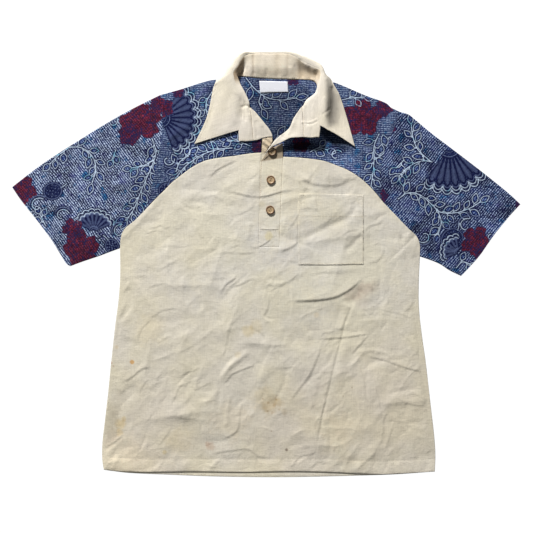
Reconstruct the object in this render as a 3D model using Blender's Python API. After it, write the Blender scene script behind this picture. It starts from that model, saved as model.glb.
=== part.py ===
"""Short-sleeved pullover shirt with a printed yoke, laid flat on a table.

Metres, +Z up. The shirt lies on its back on the plane z = 0: +X is the wearer's left (right as seen from above), +Y
points to the collar, and the origin is the middle of the box's underside.

Every outline is a short table of places along a seam or an edge. The tables count in units U from the upper left of the
laid-out shirt (x to the right, y down), as it was measured; U is the real size of one unit. Heights are millimetres above
the table. Neighbouring pieces share the seam's table, and each stands back from it by half the seam gap.
"""
import math

import bmesh
import bpy
import numpy as np
from mathutils.geometry import delaunay_2d_cdt

for old in list(bpy.data.objects):
    bpy.data.objects.remove(old, do_unlink=True)

# ------------------------------------------------------------------ driving sizes (metres)
U = 0.0018              # one table unit
MIDDLE = (266.3, 265.09)  # the table place that becomes the origin
MM = 0.001
CLOTH = 0.0012          # one layer of cloth, with its seam allowance
COLLAR_CLOTH = 0.0016   # collar and stand: two layers and interfacing
GAP = 0.0003            # between two sewn pieces
AIR = 0.0016            # how far the front floats off the back in the middle of the shirt
AIR_REACH = 0.030       # distance from a folded edge over which it rises
COLLAR_LIFT = 0.0020    # the back yoke lies this high where the collar's fall is under it
PANEL_STEP = 0.026      # spacing of the facets on the body
SMALL_STEP = 0.018      # on yokes and small pieces
SEAM_STEP = 0.018       # along seams and edges, the same for both neighbours
BUTTON_D = 0.0155
BUTTON_H = 0.0028
BUTTON_HOLE_D = 0.0018
BUTTON_HOLE_GAP = 0.0036
POCKET_CLOTH = 0.0010
LABEL_CLOTH = 0.0010


def place(x, y):
    """Table units to metres."""
    return ((x - MIDDLE[0]) * U, (MIDDLE[1] - y) * U)


# ------------------------------------------------------------------ seams and edges, columns (x, y) in table units
SHOULDER_R = [(160, 95.2), (170, 92.4), (180, 89.6), (190, 86.4), (200, 83.2), (210, 80.5), (216.2, 79.8)]
SHOULDER_R_UNDER_COLLAR = [(216.2, 79.8), (218.4, 85.4), (226, 86.4), (232, 84), (235, 80)]
SHOULDER_L = [(333.2, 82.2), (340, 84.6), (350, 88.8), (360, 93.2), (370, 97.2), (380, 100.6), (387, 103.8), (391, 107.6), (396, 110), (400, 112)]
SHOULDER_L_UNDER_COLLAR = [(319.5, 89), (324, 90), (330.6, 88.6), (333.2, 82.2)]
NECK_BACK = [(235, 80), (237.4, 76.9), (250, 77.6), (260, 78.5), (270, 79), (290, 79.7), (310, 80.4), (314.4, 82.2), (317, 85.4), (319.5, 89)]
NECK_FRONT_R = [(235, 80), (237.5, 90), (242.5, 99.8), (249, 108.3), (253.5, 113.2), (259, 119.6), (264, 125.6), (268.4, 131.6), (270.2, 136.6)]
FRONT_EDGE_R = [(270.2, 136.6), (262.2, 139.4), (261.3, 152.6)]
NECK_FRONT_L = [(319.5, 89), (319.4, 95.4), (314, 101), (308.2, 104.6), (302.8, 108.6), (298.4, 114.8), (294.2, 121), (290.6, 127.8), (283.8, 135)]
FRONT_EDGE_L = [(283.8, 135), (283.4, 156.9)]
YOKE_SEAM_R = [(148.5, 206.3), (158, 196.5), (165, 189.7), (170, 184.3), (182.8, 174), (195.5, 165.2), (208, 159.9), (221, 157.7), (234, 156), (250, 153.5), (261.3, 152.6)]
YOKE_SEAM_L = [(283.4, 156.9), (297.6, 157.5), (310, 158.8), (323, 160.8), (336, 165.2), (349, 170.8), (362, 179.5), (373, 190), (383, 202)]
YOKE_SEAM_BACK = [(148.5, 206.3), (190, 194), (230, 188), (266, 186.5), (302, 187.5), (342, 192.5), (383, 202)]
ARMHOLE_R_HIGH = [(160, 95.2), (162, 110), (162, 125), (160.8, 140), (158.4, 155), (155, 170), (151.4, 188), (148.5, 206.3)]
ARMHOLE_R_LOW = [(148.5, 206.3), (135.5, 219.6), (124, 229.6), (120.6, 238), (120, 248.3)]
ARMHOLE_L_HIGH = [(400, 112), (396.4, 122), (391, 136), (385.4, 150), (381.8, 165), (381, 181), (383, 202)]
ARMHOLE_L_LOW = [(383, 202), (397, 216.5), (408, 228), (417, 236.8), (420, 245), (420, 256.6)]
SIDE_R = [(120, 248.3), (120.2, 274), (118.6, 299.5), (115.4, 324), (111.2, 362), (108, 394), (105, 420), (102.4, 443), (102.3, 459.5), (103.7, 469.6)]
SIDE_L = [(420, 256.6), (418.9, 279), (419, 308), (422.6, 340), (425.5, 360), (430, 399), (434.6, 440), (435.4, 456), (434.8, 471.6)]
HEM_FRONT = [(103.7, 469.6), (113, 471), (145, 472), (194.5, 471.4), (244, 472), (294, 471.2), (334, 472.2), (380, 474.2), (434.8, 471.6)]
HEM_BACK = [(103.7, 469.6), (125, 472.6), (170, 474.8), (219, 476.6), (269, 477.2), (307, 476.9), (360, 475.6), (395, 474.4), (434.8, 471.6)]
PLACKET_NOTCH = [[(261.3, 152.6), (260, 162), (259.2, 205), (258.2, 247.6)], [(258.2, 247.6), (279.6, 247.6)],
                 [(279.6, 247.6), (281.2, 205), (283, 164), (283.4, 156.9)]]

SLEEVE_R = {"over": [(160, 95.2), (140, 105), (120, 115.6), (100, 127.3), (80, 139.8), (60, 152.4), (40, 165.8), (20, 181), (12.3, 187.2)],
            "under": [(120, 248.3), (110, 252), (100, 255.8), (90, 259.2), (80, 262.6), (70.5, 266.2)],
            "cuff": [(12.3, 187.2), (21, 200), (37, 220.2), (52, 240.4), (61, 255), (67, 264.2), (70.5, 266.2)]}
SLEEVE_L = {"over": [(400, 112), (408.6, 114.6), (414, 118.8), (430, 132.2), (450, 147.4), (470, 162.6), (490, 178.2), (510, 194.6), (520.3, 204.2)],
            "under": [(420, 256.6), (430, 260), (440, 264.2), (449, 270.2), (461, 276)],
            "cuff": [(520.3, 204.2), (510, 215.4), (502, 225), (494, 235), (487, 245), (480, 255), (471, 265.4), (461, 276)]}

POCKET = [[(298.6, 193.8), (330, 194.2), (363.4, 195.2)], [(363.4, 195.2), (363.6, 230), (363.4, 264.4)],
          [(363.4, 264.4), (330, 265), (298.8, 264.8)], [(298.8, 264.8), (298.4, 230), (298.6, 193.8)]]
LABEL = [[(259.2, 81), (287.6, 81.8)], [(287.6, 81.8), (288.4, 92.2)], [(288.4, 92.2), (260.2, 93)], [(260.2, 93), (259.2, 81)]]

# ------------------------------------------------------------------ turned-back facings and placket strips: outline, then heights
LAPEL_R = {"outline": [[(251.2, 108.6), (255.2, 112), (260.2, 118), (265.2, 124), (269.8, 130), (272, 134.6), (272.6, 137)],
                       [(272.6, 137), (267, 137.4), (262, 138.6), (257.5, 140.2), (253.9, 140.8)],
                       [(253.9, 140.8), (253.2, 130), (252.2, 118), (251.2, 108.6)]],
           "heights": [(251.2, 109, 9.4), (252.4, 120, 8.4), (253.5, 132, 7.2), (254, 140, 6.2), (262, 138, 6.2), (272, 136.5, 6.0),
                       (266, 125, 7.6), (258, 115, 8.8), (260, 128, 8.2)]}
LAPEL_L = {"outline": [[(262, 159.6), (265.4, 153.4), (268.6, 148.6), (272.4, 143.4), (275.4, 140), (280, 136), (284.2, 133), (288.4, 129.2), (290.4, 126), (293.2, 119.2), (297.2, 113), (301.2, 107.8)],
                       [(301.2, 107.8), (302, 112), (302.4, 124), (302.9, 137.6)],
                       [(302.9, 137.6), (297, 138), (290, 138.6), (285, 141), (280, 143.5), (272.6, 147), (268, 151), (264.6, 156), (262, 159.6)]],
           "heights": [(262, 159.2, 5.8), (266, 153.5, 8.6), (272, 145.5, 11.2), (280, 139.5, 12.4), (288, 133, 14.0), (296, 124, 16.0),
                       (300, 110, 16.4), (302.6, 118, 16.6), (302.8, 136, 17.2), (292, 137, 16.4)]}
PLACKET_UNDER = {"outline": [[(262.3, 139), (267, 137.9), (272.6, 137.4)], [(272.6, 137.4), (272.2, 143), (268, 148.6), (265.6, 153.4), (264.6, 158)],
                             [(264.6, 158), (281.6, 163)], [(281.6, 163), (280.4, 205), (279, 246.4)], [(279, 246.4), (259.2, 246.4)],
                             [(259.2, 246.4), (260, 205), (261.2, 162), (261.6, 150), (262.3, 139)]],
                 "heights": [(262.5, 139.5, 5.4), (272, 138, 5.2), (270, 143, 5.2), (264, 149, 3.8), (263, 156, 2.0), (264.5, 161, 1.5),
                             (272, 164, 1.5), (281, 164, 1.5), (260, 205, 1.5), (280, 205, 1.5), (260, 245, 1.5), (279, 245, 1.5), (270, 225, 1.5)]}
PLACKET_OVER = {"outline": [[(260.6, 161), (262.6, 158.6), (266, 154), (270, 149.6), (276, 146), (282.9, 143)], [(282.9, 143), (283, 157), (282.6, 166), (280.8, 205), (279.2, 247)],
                            [(279.2, 247), (258.7, 247)], [(258.7, 247), (259.6, 205), (260.6, 161)]],
                "heights": [(261.5, 161, 3.5), (267, 155.5, 3.9), (273, 149.5, 4.1), (282, 145, 3.9), (282.5, 157, 3.3), (271, 165, 3.4),
                            (260, 205, 3.1), (281, 205, 3.1), (259, 246, 3.0), (279, 246, 3.0), (270, 190, 3.3), (270, 225, 3.2)]}

# ------------------------------------------------------------------ collar: a row for each section from the wearer's right to left.
# Columns (x, y, height): neck seam, middle of the stand, join of stand and leaf, then four places across the leaf to its edge.
COLLAR = [
    ("band_end_r", (253.2, 140.9, 6.2), (246.6, 141.4, 6.4), (239.7, 141.5, 6.2), None, None, None, None),
    ("notch_r", (252.4, 129.4, 7.6), (246.2, 129.9, 7.8), (239.5, 130.5, 7.4), (228.4, 133.5, 7.2), (216.8, 137.2, 6.6), (205.3, 140.8, 6.2), (194.3, 144.4, 6.0)),
    ("leaf_r_low", (251.6, 121, 8.2), (246.8, 121.4, 8.6), (241.8, 121.6, 7.6), (231.4, 123.6, 8.6), (220.8, 126.2, 7.6), (210.8, 128.8, 6.6), (201, 131, 6.0)),
    ("leaf_r_mid", (250.6, 111.6, 9.2), (247, 111.8, 9.6), (242.6, 112, 8.2), (233, 113.4, 9.6), (223.4, 115, 8.6), (214.6, 116.6, 7.0), (206.6, 118.2, 6.2)),
    ("crossing_r", (249.6, 106.2, 7.8), (248.6, 103.6, 11.0), (242.6, 102.2, 9.6), (234.2, 103.2, 10.6), (225.4, 104.2, 9.6), (217.2, 105, 7.6), (209.9, 105.8, 6.4)),
    ("roll_r_low", (243.6, 98.0, 4.6), (245.4, 94.6, 10.8), (238.8, 93.4, 11.8), (231.6, 93.8, 11.6), (224.4, 94.6, 10.2), (217.8, 95.6, 8.2), (211.6, 96.6, 6.8)),
    ("roll_r_mid", (238.6, 88.6, 5.0), (240.2, 84.8, 10.6), (235.4, 83.4, 12.4), (230, 83.6, 12.4), (224.2, 84.6, 11.2), (218.8, 86, 9.2), (213.6, 87.6, 7.2)),
    ("roll_r_high", (237, 81.6, 4.6), (238, 79.2, 10.6), (234, 77.4, 13.2), (229, 77.6, 13.2), (224, 79, 11.8), (219.6, 80.6, 9.8), (215.6, 82.8, 8.0)),
    ("shoulder_r", (236.6, 78.2, 4.0), (236.9, 76, 10.4), (233.6, 73.6, 13.6), (229.6, 73, 13.4), (225.4, 74.2, 10.8), (221.4, 76.4, 6.8), (218.6, 78.9, 3.2)),
    ("turn_r", (238.2, 76.4, 3.6), (241.0, 71.2, 4.4), (238.0, 66.6, 13.8), (234.0, 63.4, 13.6), (228.6, 66.0, 7.4), (226.6, 74.2, 1.6), (227.4, 81.6, 0.8)),
    ("side_r", (240.8, 76.4, 3.3), (243.2, 69.6, 3.9), (241.4, 60.4, 13.4), (239.0, 55.8, 13.8), (235.6, 58.4, 6.4), (235.6, 70.2, 0.9), (236.6, 83, 0.8)),
    ("corner_r", (244.8, 76.6, 3.2), (246.2, 67.0, 6.6), (245.6, 56.0, 11.6), (244.4, 53.0, 12.8), (242.6, 55.4, 4.4), (243.2, 68, 0.8), (243.6, 84, 0.8)),
    ("back_r", (253, 77.2, 3.2), (253, 66.6, 10.0), (252.8, 54.2, 12.4), (252.8, 52.7, 11.8), (252.8, 55.2, 3.2), (252.8, 69, 0.8), (252.8, 84.6, 0.8)),
    ("back_mid", (268, 78.3, 3.2), (268, 67.0, 10.0), (268, 54.0, 12.4), (268, 52.5, 11.8), (268, 55.2, 3.2), (268, 69.6, 0.8), (268, 85, 0.8)),
    ("back_l", (290, 79.1, 3.2), (290.2, 67.8, 9.8), (290.4, 55.0, 13.2), (290.4, 52.9, 12.8), (290, 55.6, 3.4), (289.6, 70.4, 0.8), (289, 85.6, 0.8)),
    ("back_l_end", (302, 79.6, 3.2), (302.4, 70.6, 5.0), (302.2, 61.6, 13.2), (303.4, 57.0, 13.6), (302.4, 59.8, 4.2), (301, 72.6, 0.8), (299.6, 86.2, 0.8)),
    ("side_l", (309, 79.8, 3.3), (311.4, 74.0, 5.2), (312.8, 66.8, 14.2), (314.6, 62.0, 14.0), (311.8, 64.4, 5.8), (309.2, 74, 0.9), (308.6, 86.6, 0.8)),
    ("corner_l", (313, 80.4, 3.6), (316.6, 75.8, 6.2), (319.4, 69.8, 15.6), (321.4, 66.8, 14.8), (319.6, 69.0, 6.6), (316, 77.2, 1.2), (316, 87.4, 0.8)),
    ("turn_l", (315, 82, 3.8), (317.6, 79, 8.0), (320.4, 74.2, 16.2), (323.8, 72.8, 15.4), (324.6, 75, 7.6), (322.6, 80.4, 1.4), (322.6, 88, 0.8)),
    ("shoulder_l", (316.8, 84.8, 4.2), (317.8, 82.6, 9.4), (320, 79, 16.8), (324.4, 77.2, 16.8), (328.0, 77.6, 11.4), (329.8, 79.0, 6.4), (330.8, 81, 3.2)),
    ("roll_l_high", (317.6, 89.6, 5.4), (317.4, 87, 11.8), (319.4, 84, 17.4), (324.6, 82.8, 18.0), (328.8, 82.8, 12.4), (331.6, 83.6, 7.4), (333.6, 85.2, 6.4)),
    ("roll_l_low", (316.4, 95.4, 9.0), (315.4, 93.4, 14.4), (318.4, 92.2, 17.8), (325.2, 91.4, 18.8), (330.6, 91.8, 10.4), (334.0, 92.2, 6.8), (338.2, 92.4, 7.0)),
    ("crossing_l", (306.8, 100.2, 13.6), (311, 98.6, 17.2), (317.8, 99.2, 18.4), (325.6, 99.6, 19.0), (331.4, 100.4, 10.0), (335.8, 100.8, 6.4), (341.4, 100.6, 7.0)),
    ("leaf_l_mid", (302.6, 108.4, 16.4), (310, 109, 17.8), (318, 109.6, 18.8), (325.4, 110.2, 19.2), (331.2, 111, 10.4), (336.6, 111, 6.4), (344.6, 110.6, 7.4)),
    ("leaf_l_low", (303.2, 118, 16.8), (310.6, 118.4, 18.0), (318.8, 119, 19.4), (325.6, 121.0, 18.8), (331.4, 123.2, 11.8), (338.6, 124.8, 7.4), (348.8, 125, 7.6)),
    ("notch_l", (303.4, 126.6, 17.2), (311, 126.5, 18.6), (319.5, 126.4, 20.0), (327.6, 130.6, 18.6), (335.4, 134.6, 14.6), (344.0, 139.8, 10.4), (354.9, 147, 7.6)),
    ("band_end_l", (303.6, 137.6, 17.4), (311, 138.2, 18.4), (318.4, 137.9, 19.2), None, None, None, None),
]

# ------------------------------------------------------------------ the largest folds: columns start x, y, end x, y, height mm, half width mm
FOLDS = [
    ("under_pocket", 290, 300, 338, 297, 1.5, 13), ("under_pocket_end", 338, 297, 362, 280, 1.6, 14),
    ("long_lower_left_leg", 364, 302, 338, 350, 1.2, 13), ("long_lower_left_foot", 338, 350, 316, 450, 1.4, 14),
    ("pit_left", 402, 246, 418, 282, 1.0, 11), ("hip_left", 358, 352, 424, 376, 1.0, 15),
    ("pocket_valley", 300, 240, 352, 216, -0.9, 12), ("above_pocket", 297, 178, 346, 180, 1.0, 12),
    ("belly", 226, 366, 220, 430, 0.9, 15), ("above_hem", 190, 455, 290, 448, 0.9, 14),
    ("pit_right", 126, 232, 162, 226, 1.0, 12), ("yoke_right", 212, 175, 242, 158, 0.8, 12),
    ("side_right", 112, 410, 140, 376, 0.9, 13), ("middle", 240, 282, 304, 268, 0.8, 13),
]

BUTTONS = [("button_1", 272, 151.8), ("button_2", 270.8, 180), ("button_3", 270.2, 210)]


# ------------------------------------------------------------------ curves and height functions
def smooth(rows, step=None, per=None):
    """A smooth curve through the rows (2-D or 3-D), with a point about every step, or per points between two rows."""
    pts = np.array(rows, float)
    n = len(pts)
    if n == 2:
        count = per or max(1, int(round(np.linalg.norm(pts[1] - pts[0]) / step)))
        return np.array([pts[0] + (pts[1] - pts[0]) * k / count for k in range(count + 1)])
    ext = np.vstack([2 * pts[0] - pts[1], pts, 2 * pts[-1] - pts[-2]])
    out = []
    for i in range(n - 1):
        p0, p1, p2, p3 = ext[i:i + 4]
        t = [0.0]
        for a, b in ((p0, p1), (p1, p2), (p2, p3)):
            t.append(t[-1] + max(np.linalg.norm(b - a), 1e-9) ** 0.5)
        count = per or max(1, int(round(np.linalg.norm(p2 - p1) / step)))
        for k in range(count):
            u = t[1] + (t[2] - t[1]) * k / count
            a1 = (t[1] - u) / (t[1] - t[0]) * p0 + (u - t[0]) / (t[1] - t[0]) * p1
            a2 = (t[2] - u) / (t[2] - t[1]) * p1 + (u - t[1]) / (t[2] - t[1]) * p2
            a3 = (t[3] - u) / (t[3] - t[2]) * p2 + (u - t[2]) / (t[3] - t[2]) * p3
            b1 = (t[2] - u) / (t[2] - t[0]) * a1 + (u - t[0]) / (t[2] - t[0]) * a2
            b2 = (t[3] - u) / (t[3] - t[1]) * a2 + (u - t[1]) / (t[3] - t[1]) * a3
            out.append((t[2] - u) / (t[2] - t[1]) * b1 + (u - t[1]) / (t[2] - t[1]) * b2)
    out.append(pts[-1])
    return np.array(out)


def metres(rows):
    return np.array([place(*r[:2]) for r in rows])


def curve(rows, step):
    return smooth(metres(rows), step)


def back(rows):
    return list(reversed(rows))


def outline(edges, step, inset):
    """A closed outline from its edges, each smooth and with a corner between them, set in by half the seam gap."""
    pts = np.vstack([curve(e, step)[:-1] for e in edges])
    area = 0.5 * np.sum(pts[:, 0] * np.roll(pts[:, 1], -1) - np.roll(pts[:, 0], -1) * pts[:, 1])
    if area < 0:
        pts = pts[::-1]
    before, after = pts - np.roll(pts, 1, 0), np.roll(pts, -1, 0) - pts
    before /= np.linalg.norm(before, axis=1)[:, None]
    after /= np.linalg.norm(after, axis=1)[:, None]
    n1, n2 = np.stack([-before[:, 1], before[:, 0]], 1), np.stack([-after[:, 1], after[:, 0]], 1)
    mid = n1 + n2
    mid /= np.maximum(np.linalg.norm(mid, axis=1), 1e-6)[:, None]
    cos = np.clip(np.sum(mid * n1, axis=1), 0.45, 1)
    return pts + mid * (inset / cos)[:, None]


def distance_to(points, lines):
    """Shortest distance in plan from each point to any of the open lines."""
    best = np.full(len(points), 1e9)
    for line in lines:
        for a, b in zip(line[:-1], line[1:]):
            ab = b - a
            t = np.clip(((points - a) @ ab) / (ab @ ab), 0, 1)
            best = np.minimum(best, np.linalg.norm(points - (a + t[:, None] * ab), axis=1))
    return best


def inside(points, poly):
    hit = np.zeros(len(points), bool)
    for a, b in zip(poly, np.roll(poly, -1, 0)):
        cross = (a[1] > points[:, 1]) != (b[1] > points[:, 1])
        x = a[0] + (points[:, 1] - a[1]) / (b[1] - a[1] + 1e-15) * (b[0] - a[0])
        hit ^= cross & (points[:, 0] < x)
    return hit


def ease(t):
    t = np.clip(t, 0, 1)
    return t * t * (3 - 2 * t)


FOLDED_EDGES = [curve(e, 0.01) for e in (SHOULDER_R, SHOULDER_L, SIDE_R, SIDE_L, HEM_FRONT, SLEEVE_R["over"], SLEEVE_R["under"],
                                         SLEEVE_L["over"], SLEEVE_L["under"], SLEEVE_R["cuff"], SLEEVE_L["cuff"])]


def lift(points):
    """1 where the collar's fall lies under the back yoke, easing to 0 around it."""
    x, y = points[:, 0] / U + MIDDLE[0], MIDDLE[1] - points[:, 1] / U
    across = ease((x - 204) / 12) * ease((344 - x) / 12)
    return across * ease((106 - y) / 17)


def fold(points, name, x0, y0, x1, y1, height, half):
    """A soft ridge, or a trough where height is negative, that dies away at both ends."""
    a, b = np.array(place(x0, y0)), np.array(place(x1, y1))
    ab = b - a
    length = np.linalg.norm(ab)
    along = ((points - a) @ ab) / length
    off = np.abs((points - a) @ np.array([-ab[1], ab[0]])) / length
    beyond = np.maximum(np.maximum(-along, along - length), 0)
    r2 = (off ** 2 + beyond ** 2) / (half * MM) ** 2
    return height * MM * np.exp(-r2)


def rise_along(points, rows, heights, half):
    """Extra height next to a roll line, where a layer turns up into it; heights are one for each row, in mm."""
    line = metres(rows)
    best, value = np.full(len(points), 1e9), np.zeros(len(points))
    for a, b, ha, hb in zip(line[:-1], line[1:], heights[:-1], heights[1:]):
        ab = b - a
        t = np.clip(((points - a) @ ab) / (ab @ ab), 0, 1)
        d = np.linalg.norm(points - (a + t[:, None] * ab), axis=1)
        near = d < best
        best, value = np.where(near, d, best), np.where(near, ha + (hb - ha) * t, value)
    return value * MM * np.exp(-(best / half) ** 2)


def front_low(points):
    """Underside of the front layer: just clear of the back at folded edges, a little air in the middle, and the folds."""
    d = distance_to(points, FOLDED_EDGES)
    z = CLOTH + GAP + AIR * (1 - np.exp(-d / AIR_REACH)) + (COLLAR_LIFT + GAP) * lift(points)
    damp = 1 - np.exp(-d / 0.012)
    for row in FOLDS:
        z = z + fold(points, *row) * damp
    return np.maximum(z, CLOTH + GAP)


def yoke_r_low(points):
    return front_low(points) + rise_along(points, NECK_FRONT_R, [0.2, 0.6, 1.8, 3.0, 3.0, 2.6, 2.0, 1.4, 1.0], 0.016)


def yoke_l_low(points):
    return front_low(points) + rise_along(points, NECK_FRONT_L, [0.2, 1.5, 5.0, 7.6, 9.0, 9.0, 8.2, 6.8, 3.4], 0.017)


def back_low(points):
    return COLLAR_LIFT * lift(points) - GAP * 0


def thin_plate(rows):
    """A smooth height through rows of (x, y, height in mm)."""
    c = metres(rows) / 0.01
    h = np.array([r[2] for r in rows]) * MM

    def kernel(d):
        return d * d * np.log(np.maximum(d, 1e-9))

    n = len(c)
    k = kernel(np.linalg.norm(c[:, None] - c[None], axis=2)) + np.eye(n) * 0.02
    p = np.hstack([np.ones((n, 1)), c])
    system = np.block([[k, p], [p.T, np.zeros((3, 3))]])
    w = np.linalg.solve(system, np.concatenate([h, np.zeros(3)]))

    def height(points):
        q = points / 0.01
        return kernel(np.linalg.norm(q[:, None] - c[None], axis=2)) @ w[:n] + w[n] + q @ w[n + 1:]

    return height


# ------------------------------------------------------------------ solids
def material(name, colour, roughness):
    m = bpy.data.materials.new(name)
    m.use_nodes = True
    shader = m.node_tree.nodes["Principled BSDF"]
    shader.inputs["Base Color"].default_value = (*colour, 1)
    shader.inputs["Roughness"].default_value = roughness
    shader.inputs["Metallic"].default_value = 0.0
    m.diffuse_color = (*colour, 1)
    return m


NATURAL = material("natural_cotton", (0.72, 0.66, 0.52), 0.9)
PRINT = material("printed_cotton", (0.07, 0.11, 0.24), 0.88)
SHELL = material("coconut_shell", (0.17, 0.10, 0.055), 0.45)
WHITE = material("label_satin", (0.86, 0.86, 0.88), 0.6)


def add_object(name, verts, faces, mat):
    mesh = bpy.data.meshes.new(name)
    mesh.from_pydata([tuple(v) for v in verts], [], [tuple(int(i) for i in f) for f in faces])
    bm = bmesh.new()
    bm.from_mesh(mesh)
    bmesh.ops.recalc_face_normals(bm, faces=bm.faces)
    if bm.calc_volume(signed=True) < 0:
        bmesh.ops.reverse_faces(bm, faces=bm.faces)
    bm.to_mesh(mesh)
    bm.free()
    obj = bpy.data.objects.new(name, mesh)
    bpy.context.collection.objects.link(obj)
    mesh.materials.append(mat)
    mesh.shade_smooth()
    mesh.set_sharp_from_angle(angle=math.radians(40))
    return obj


def triangulate(edge, step, marks=()):
    """Triangles inside a closed outline, with a staggered grid of points; marks are closed outlines kept as edges."""
    loops = [edge, *marks]
    verts, edges = [], []
    for loop in loops:
        start = len(verts)
        verts += [tuple(p) for p in loop]
        edges += [(start + i, start + (i + 1) % len(loop)) for i in range(len(loop))]
    low, high = edge.min(0), edge.max(0)
    rows = int((high[1] - low[1]) / (step * 0.866)) + 1
    grid = []
    for j in range(rows + 1):
        y = low[1] + j * step * 0.866
        x = low[0] + (0.5 * step if j % 2 else 0)
        while x < high[0]:
            grid.append((x, y))
            x += step
    grid = np.array(grid)
    closed = [np.vstack([loop, loop[:1]]) for loop in loops]
    grid = grid[inside(grid, edge) & (distance_to(grid, closed) > 0.5 * step)]
    verts += [tuple(p) for p in grid]
    out = delaunay_2d_cdt(verts, edges, [], 1, 1e-7)
    points = np.array([tuple(v) for v in out[0]])
    tris = np.array([f for f in out[2] if len(f) == 3])
    middle = points[tris].mean(1)
    return points, tris[inside(middle, edge)]


def slab(name, points, tris, low, thick, mat):
    """A closed wall of cloth from plan triangles: its underside at low, its top thick above it."""
    used = np.unique(tris)
    index = {int(o): k for k, o in enumerate(used)}
    pts, z = points[used], low[used]
    n = len(used)
    verts = [(x, y, h) for (x, y), h in zip(pts, z)] + [(x, y, h + thick) for (x, y), h in zip(pts, z)]
    faces, count = [], {}
    for t in tris:
        a, b, c = (index[int(v)] for v in t)
        ax, ay = pts[b] - pts[a]
        bx, by = pts[c] - pts[a]
        if ax * by - ay * bx < 0:
            b, c = c, b
        faces += [(a + n, b + n, c + n), (c, b, a)]
        for e in ((a, b), (b, c), (c, a)):
            count[e] = count.get(e, 0) + 1
    for a, b in count:
        if (b, a) not in count:
            faces.append((a, b, b + n, a + n))
    return add_object(name, verts, faces, mat)


def panel(name, edges, step, low, mat, thick=CLOTH, marks=(), edge_step=SEAM_STEP):
    edge = outline(edges, edge_step, GAP / 2)
    points, tris = triangulate(edge, step, marks)
    z = low(points)
    slab(name, points, tris, z, thick, mat)
    return points, tris, z


def laid_on(name, mark, points, tris, z, gap, thick, mat):
    """A piece that lies on a panel: the panel's own triangles inside the mark, moved out."""
    middle = points[tris].mean(1)
    slab(name, points, tris[inside(middle, mark)], z + CLOTH + gap, thick, mat)


def sheet(name, grid, thick, mat):
    """A closed wall from a grid of its middle surface, half its thickness to each side."""
    rows, cols = grid.shape[:2]
    du = np.gradient(grid, axis=0)
    dv = np.gradient(grid, axis=1)
    normal = np.cross(du, dv)
    normal /= np.maximum(np.linalg.norm(normal, axis=2), 1e-12)[:, :, None]
    upper, lower = grid + normal * thick / 2, grid - normal * thick / 2
    low = min(0.0, lower[:, :, 2].min(), upper[:, :, 2].min())
    verts = np.vstack([upper.reshape(-1, 3), lower.reshape(-1, 3)])
    verts[:, 2] = np.maximum(verts[:, 2], 0.0)
    n = rows * cols
    faces = []
    for i in range(rows - 1):
        for j in range(cols - 1):
            a, b, c, d = i * cols + j, (i + 1) * cols + j, (i + 1) * cols + j + 1, i * cols + j + 1
            faces += [(a, b, c, d), (d + n, c + n, b + n, a + n)]
    for i in range(rows - 1):
        for j in (0, cols - 1):
            a, b = i * cols + j, (i + 1) * cols + j
            faces.append((a, b, b + n, a + n) if j else (b, a, a + n, b + n))
    for j in range(cols - 1):
        for i in (0, rows - 1):
            a, b = i * cols + j, i * cols + j + 1
            faces.append((b, a, a + n, b + n) if i else (a, b, b + n, a + n))
    return add_object(name, verts, faces, mat), low


def sleeve(name, shape, armhole, mat):
    """A flattened tube: rings of an outer and an inner loop from the armhole to the cuff."""
    hole = np.vstack([curve(armhole[0], SEAM_STEP)[:-1], curve(armhole[1], SEAM_STEP)])
    along_hole = np.concatenate([[0], np.cumsum(np.linalg.norm(np.diff(hole, axis=0), axis=1))])
    across = along_hole / along_hole[-1]

    def at(rows, fractions):
        line = curve(rows, 0.004)
        s = np.concatenate([[0], np.cumsum(np.linalg.norm(np.diff(line, axis=0), axis=1))])
        return np.stack([np.interp(fractions, s / s[-1], line[:, k]) for k in (0, 1)], 1)

    stations = np.linspace(0, 1, 8)
    over, under, cuff = at(shape["over"], stations), at(shape["under"], stations), at(shape["cuff"], across)
    corner = [hole[0], hole[-1], cuff[0], cuff[-1]]
    grid = np.zeros((len(stations), len(across), 2))
    for i, s in enumerate(stations):
        for j, t in enumerate(across):
            edge = (1 - t) * over[i] + t * under[i] + (1 - s) * hole[j] + s * cuff[j]
            grid[i, j] = edge - ((1 - s) * (1 - t) * corner[0] + (1 - s) * t * corner[1] + s * (1 - t) * corner[2] + s * t * corner[3])
    # stand back from the armhole seam
    first = grid[1] - grid[0]
    grid[0] += first / np.linalg.norm(first, axis=1)[:, None] * GAP * 1.3
    rings_out, rings_in = [], []
    for row in grid:
        n = len(row)
        top = front_low(row)
        inner = row.copy()
        inner[0] += (row[1] - row[0]) / np.linalg.norm(row[1] - row[0]) * CLOTH
        inner[-1] += (row[-2] - row[-1]) / np.linalg.norm(row[-2] - row[-1]) * CLOTH
        rings_out.append([(x, y, z + CLOTH) for (x, y), z in zip(row, top)] + [(x, y, 0.0) for x, y in row[::-1]])
        rings_in.append([(x, y, max(z, CLOTH + GAP)) for (x, y), z in zip(inner, top)] + [(x, y, CLOTH) for x, y in inner[::-1]])
    m = len(rings_out[0])
    verts = [v for ring in rings_out for v in ring] + [v for ring in rings_in for v in ring]
    base = len(rings_out) * m
    faces = []
    for i in range(len(rings_out) - 1):
        for j in range(m):
            k = (j + 1) % m
            a, b, c, d = i * m + j, i * m + k, (i + 1) * m + k, (i + 1) * m + j
            faces += [(a, b, c, d), (d + base, c + base, b + base, a + base)]
    for i in (0, len(rings_out) - 1):
        for j in range(m):
            k = (j + 1) % m
            faces.append((i * m + j, i * m + k, i * m + k + base, i * m + j + base))
    return add_object(name, verts, faces, mat)


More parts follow.
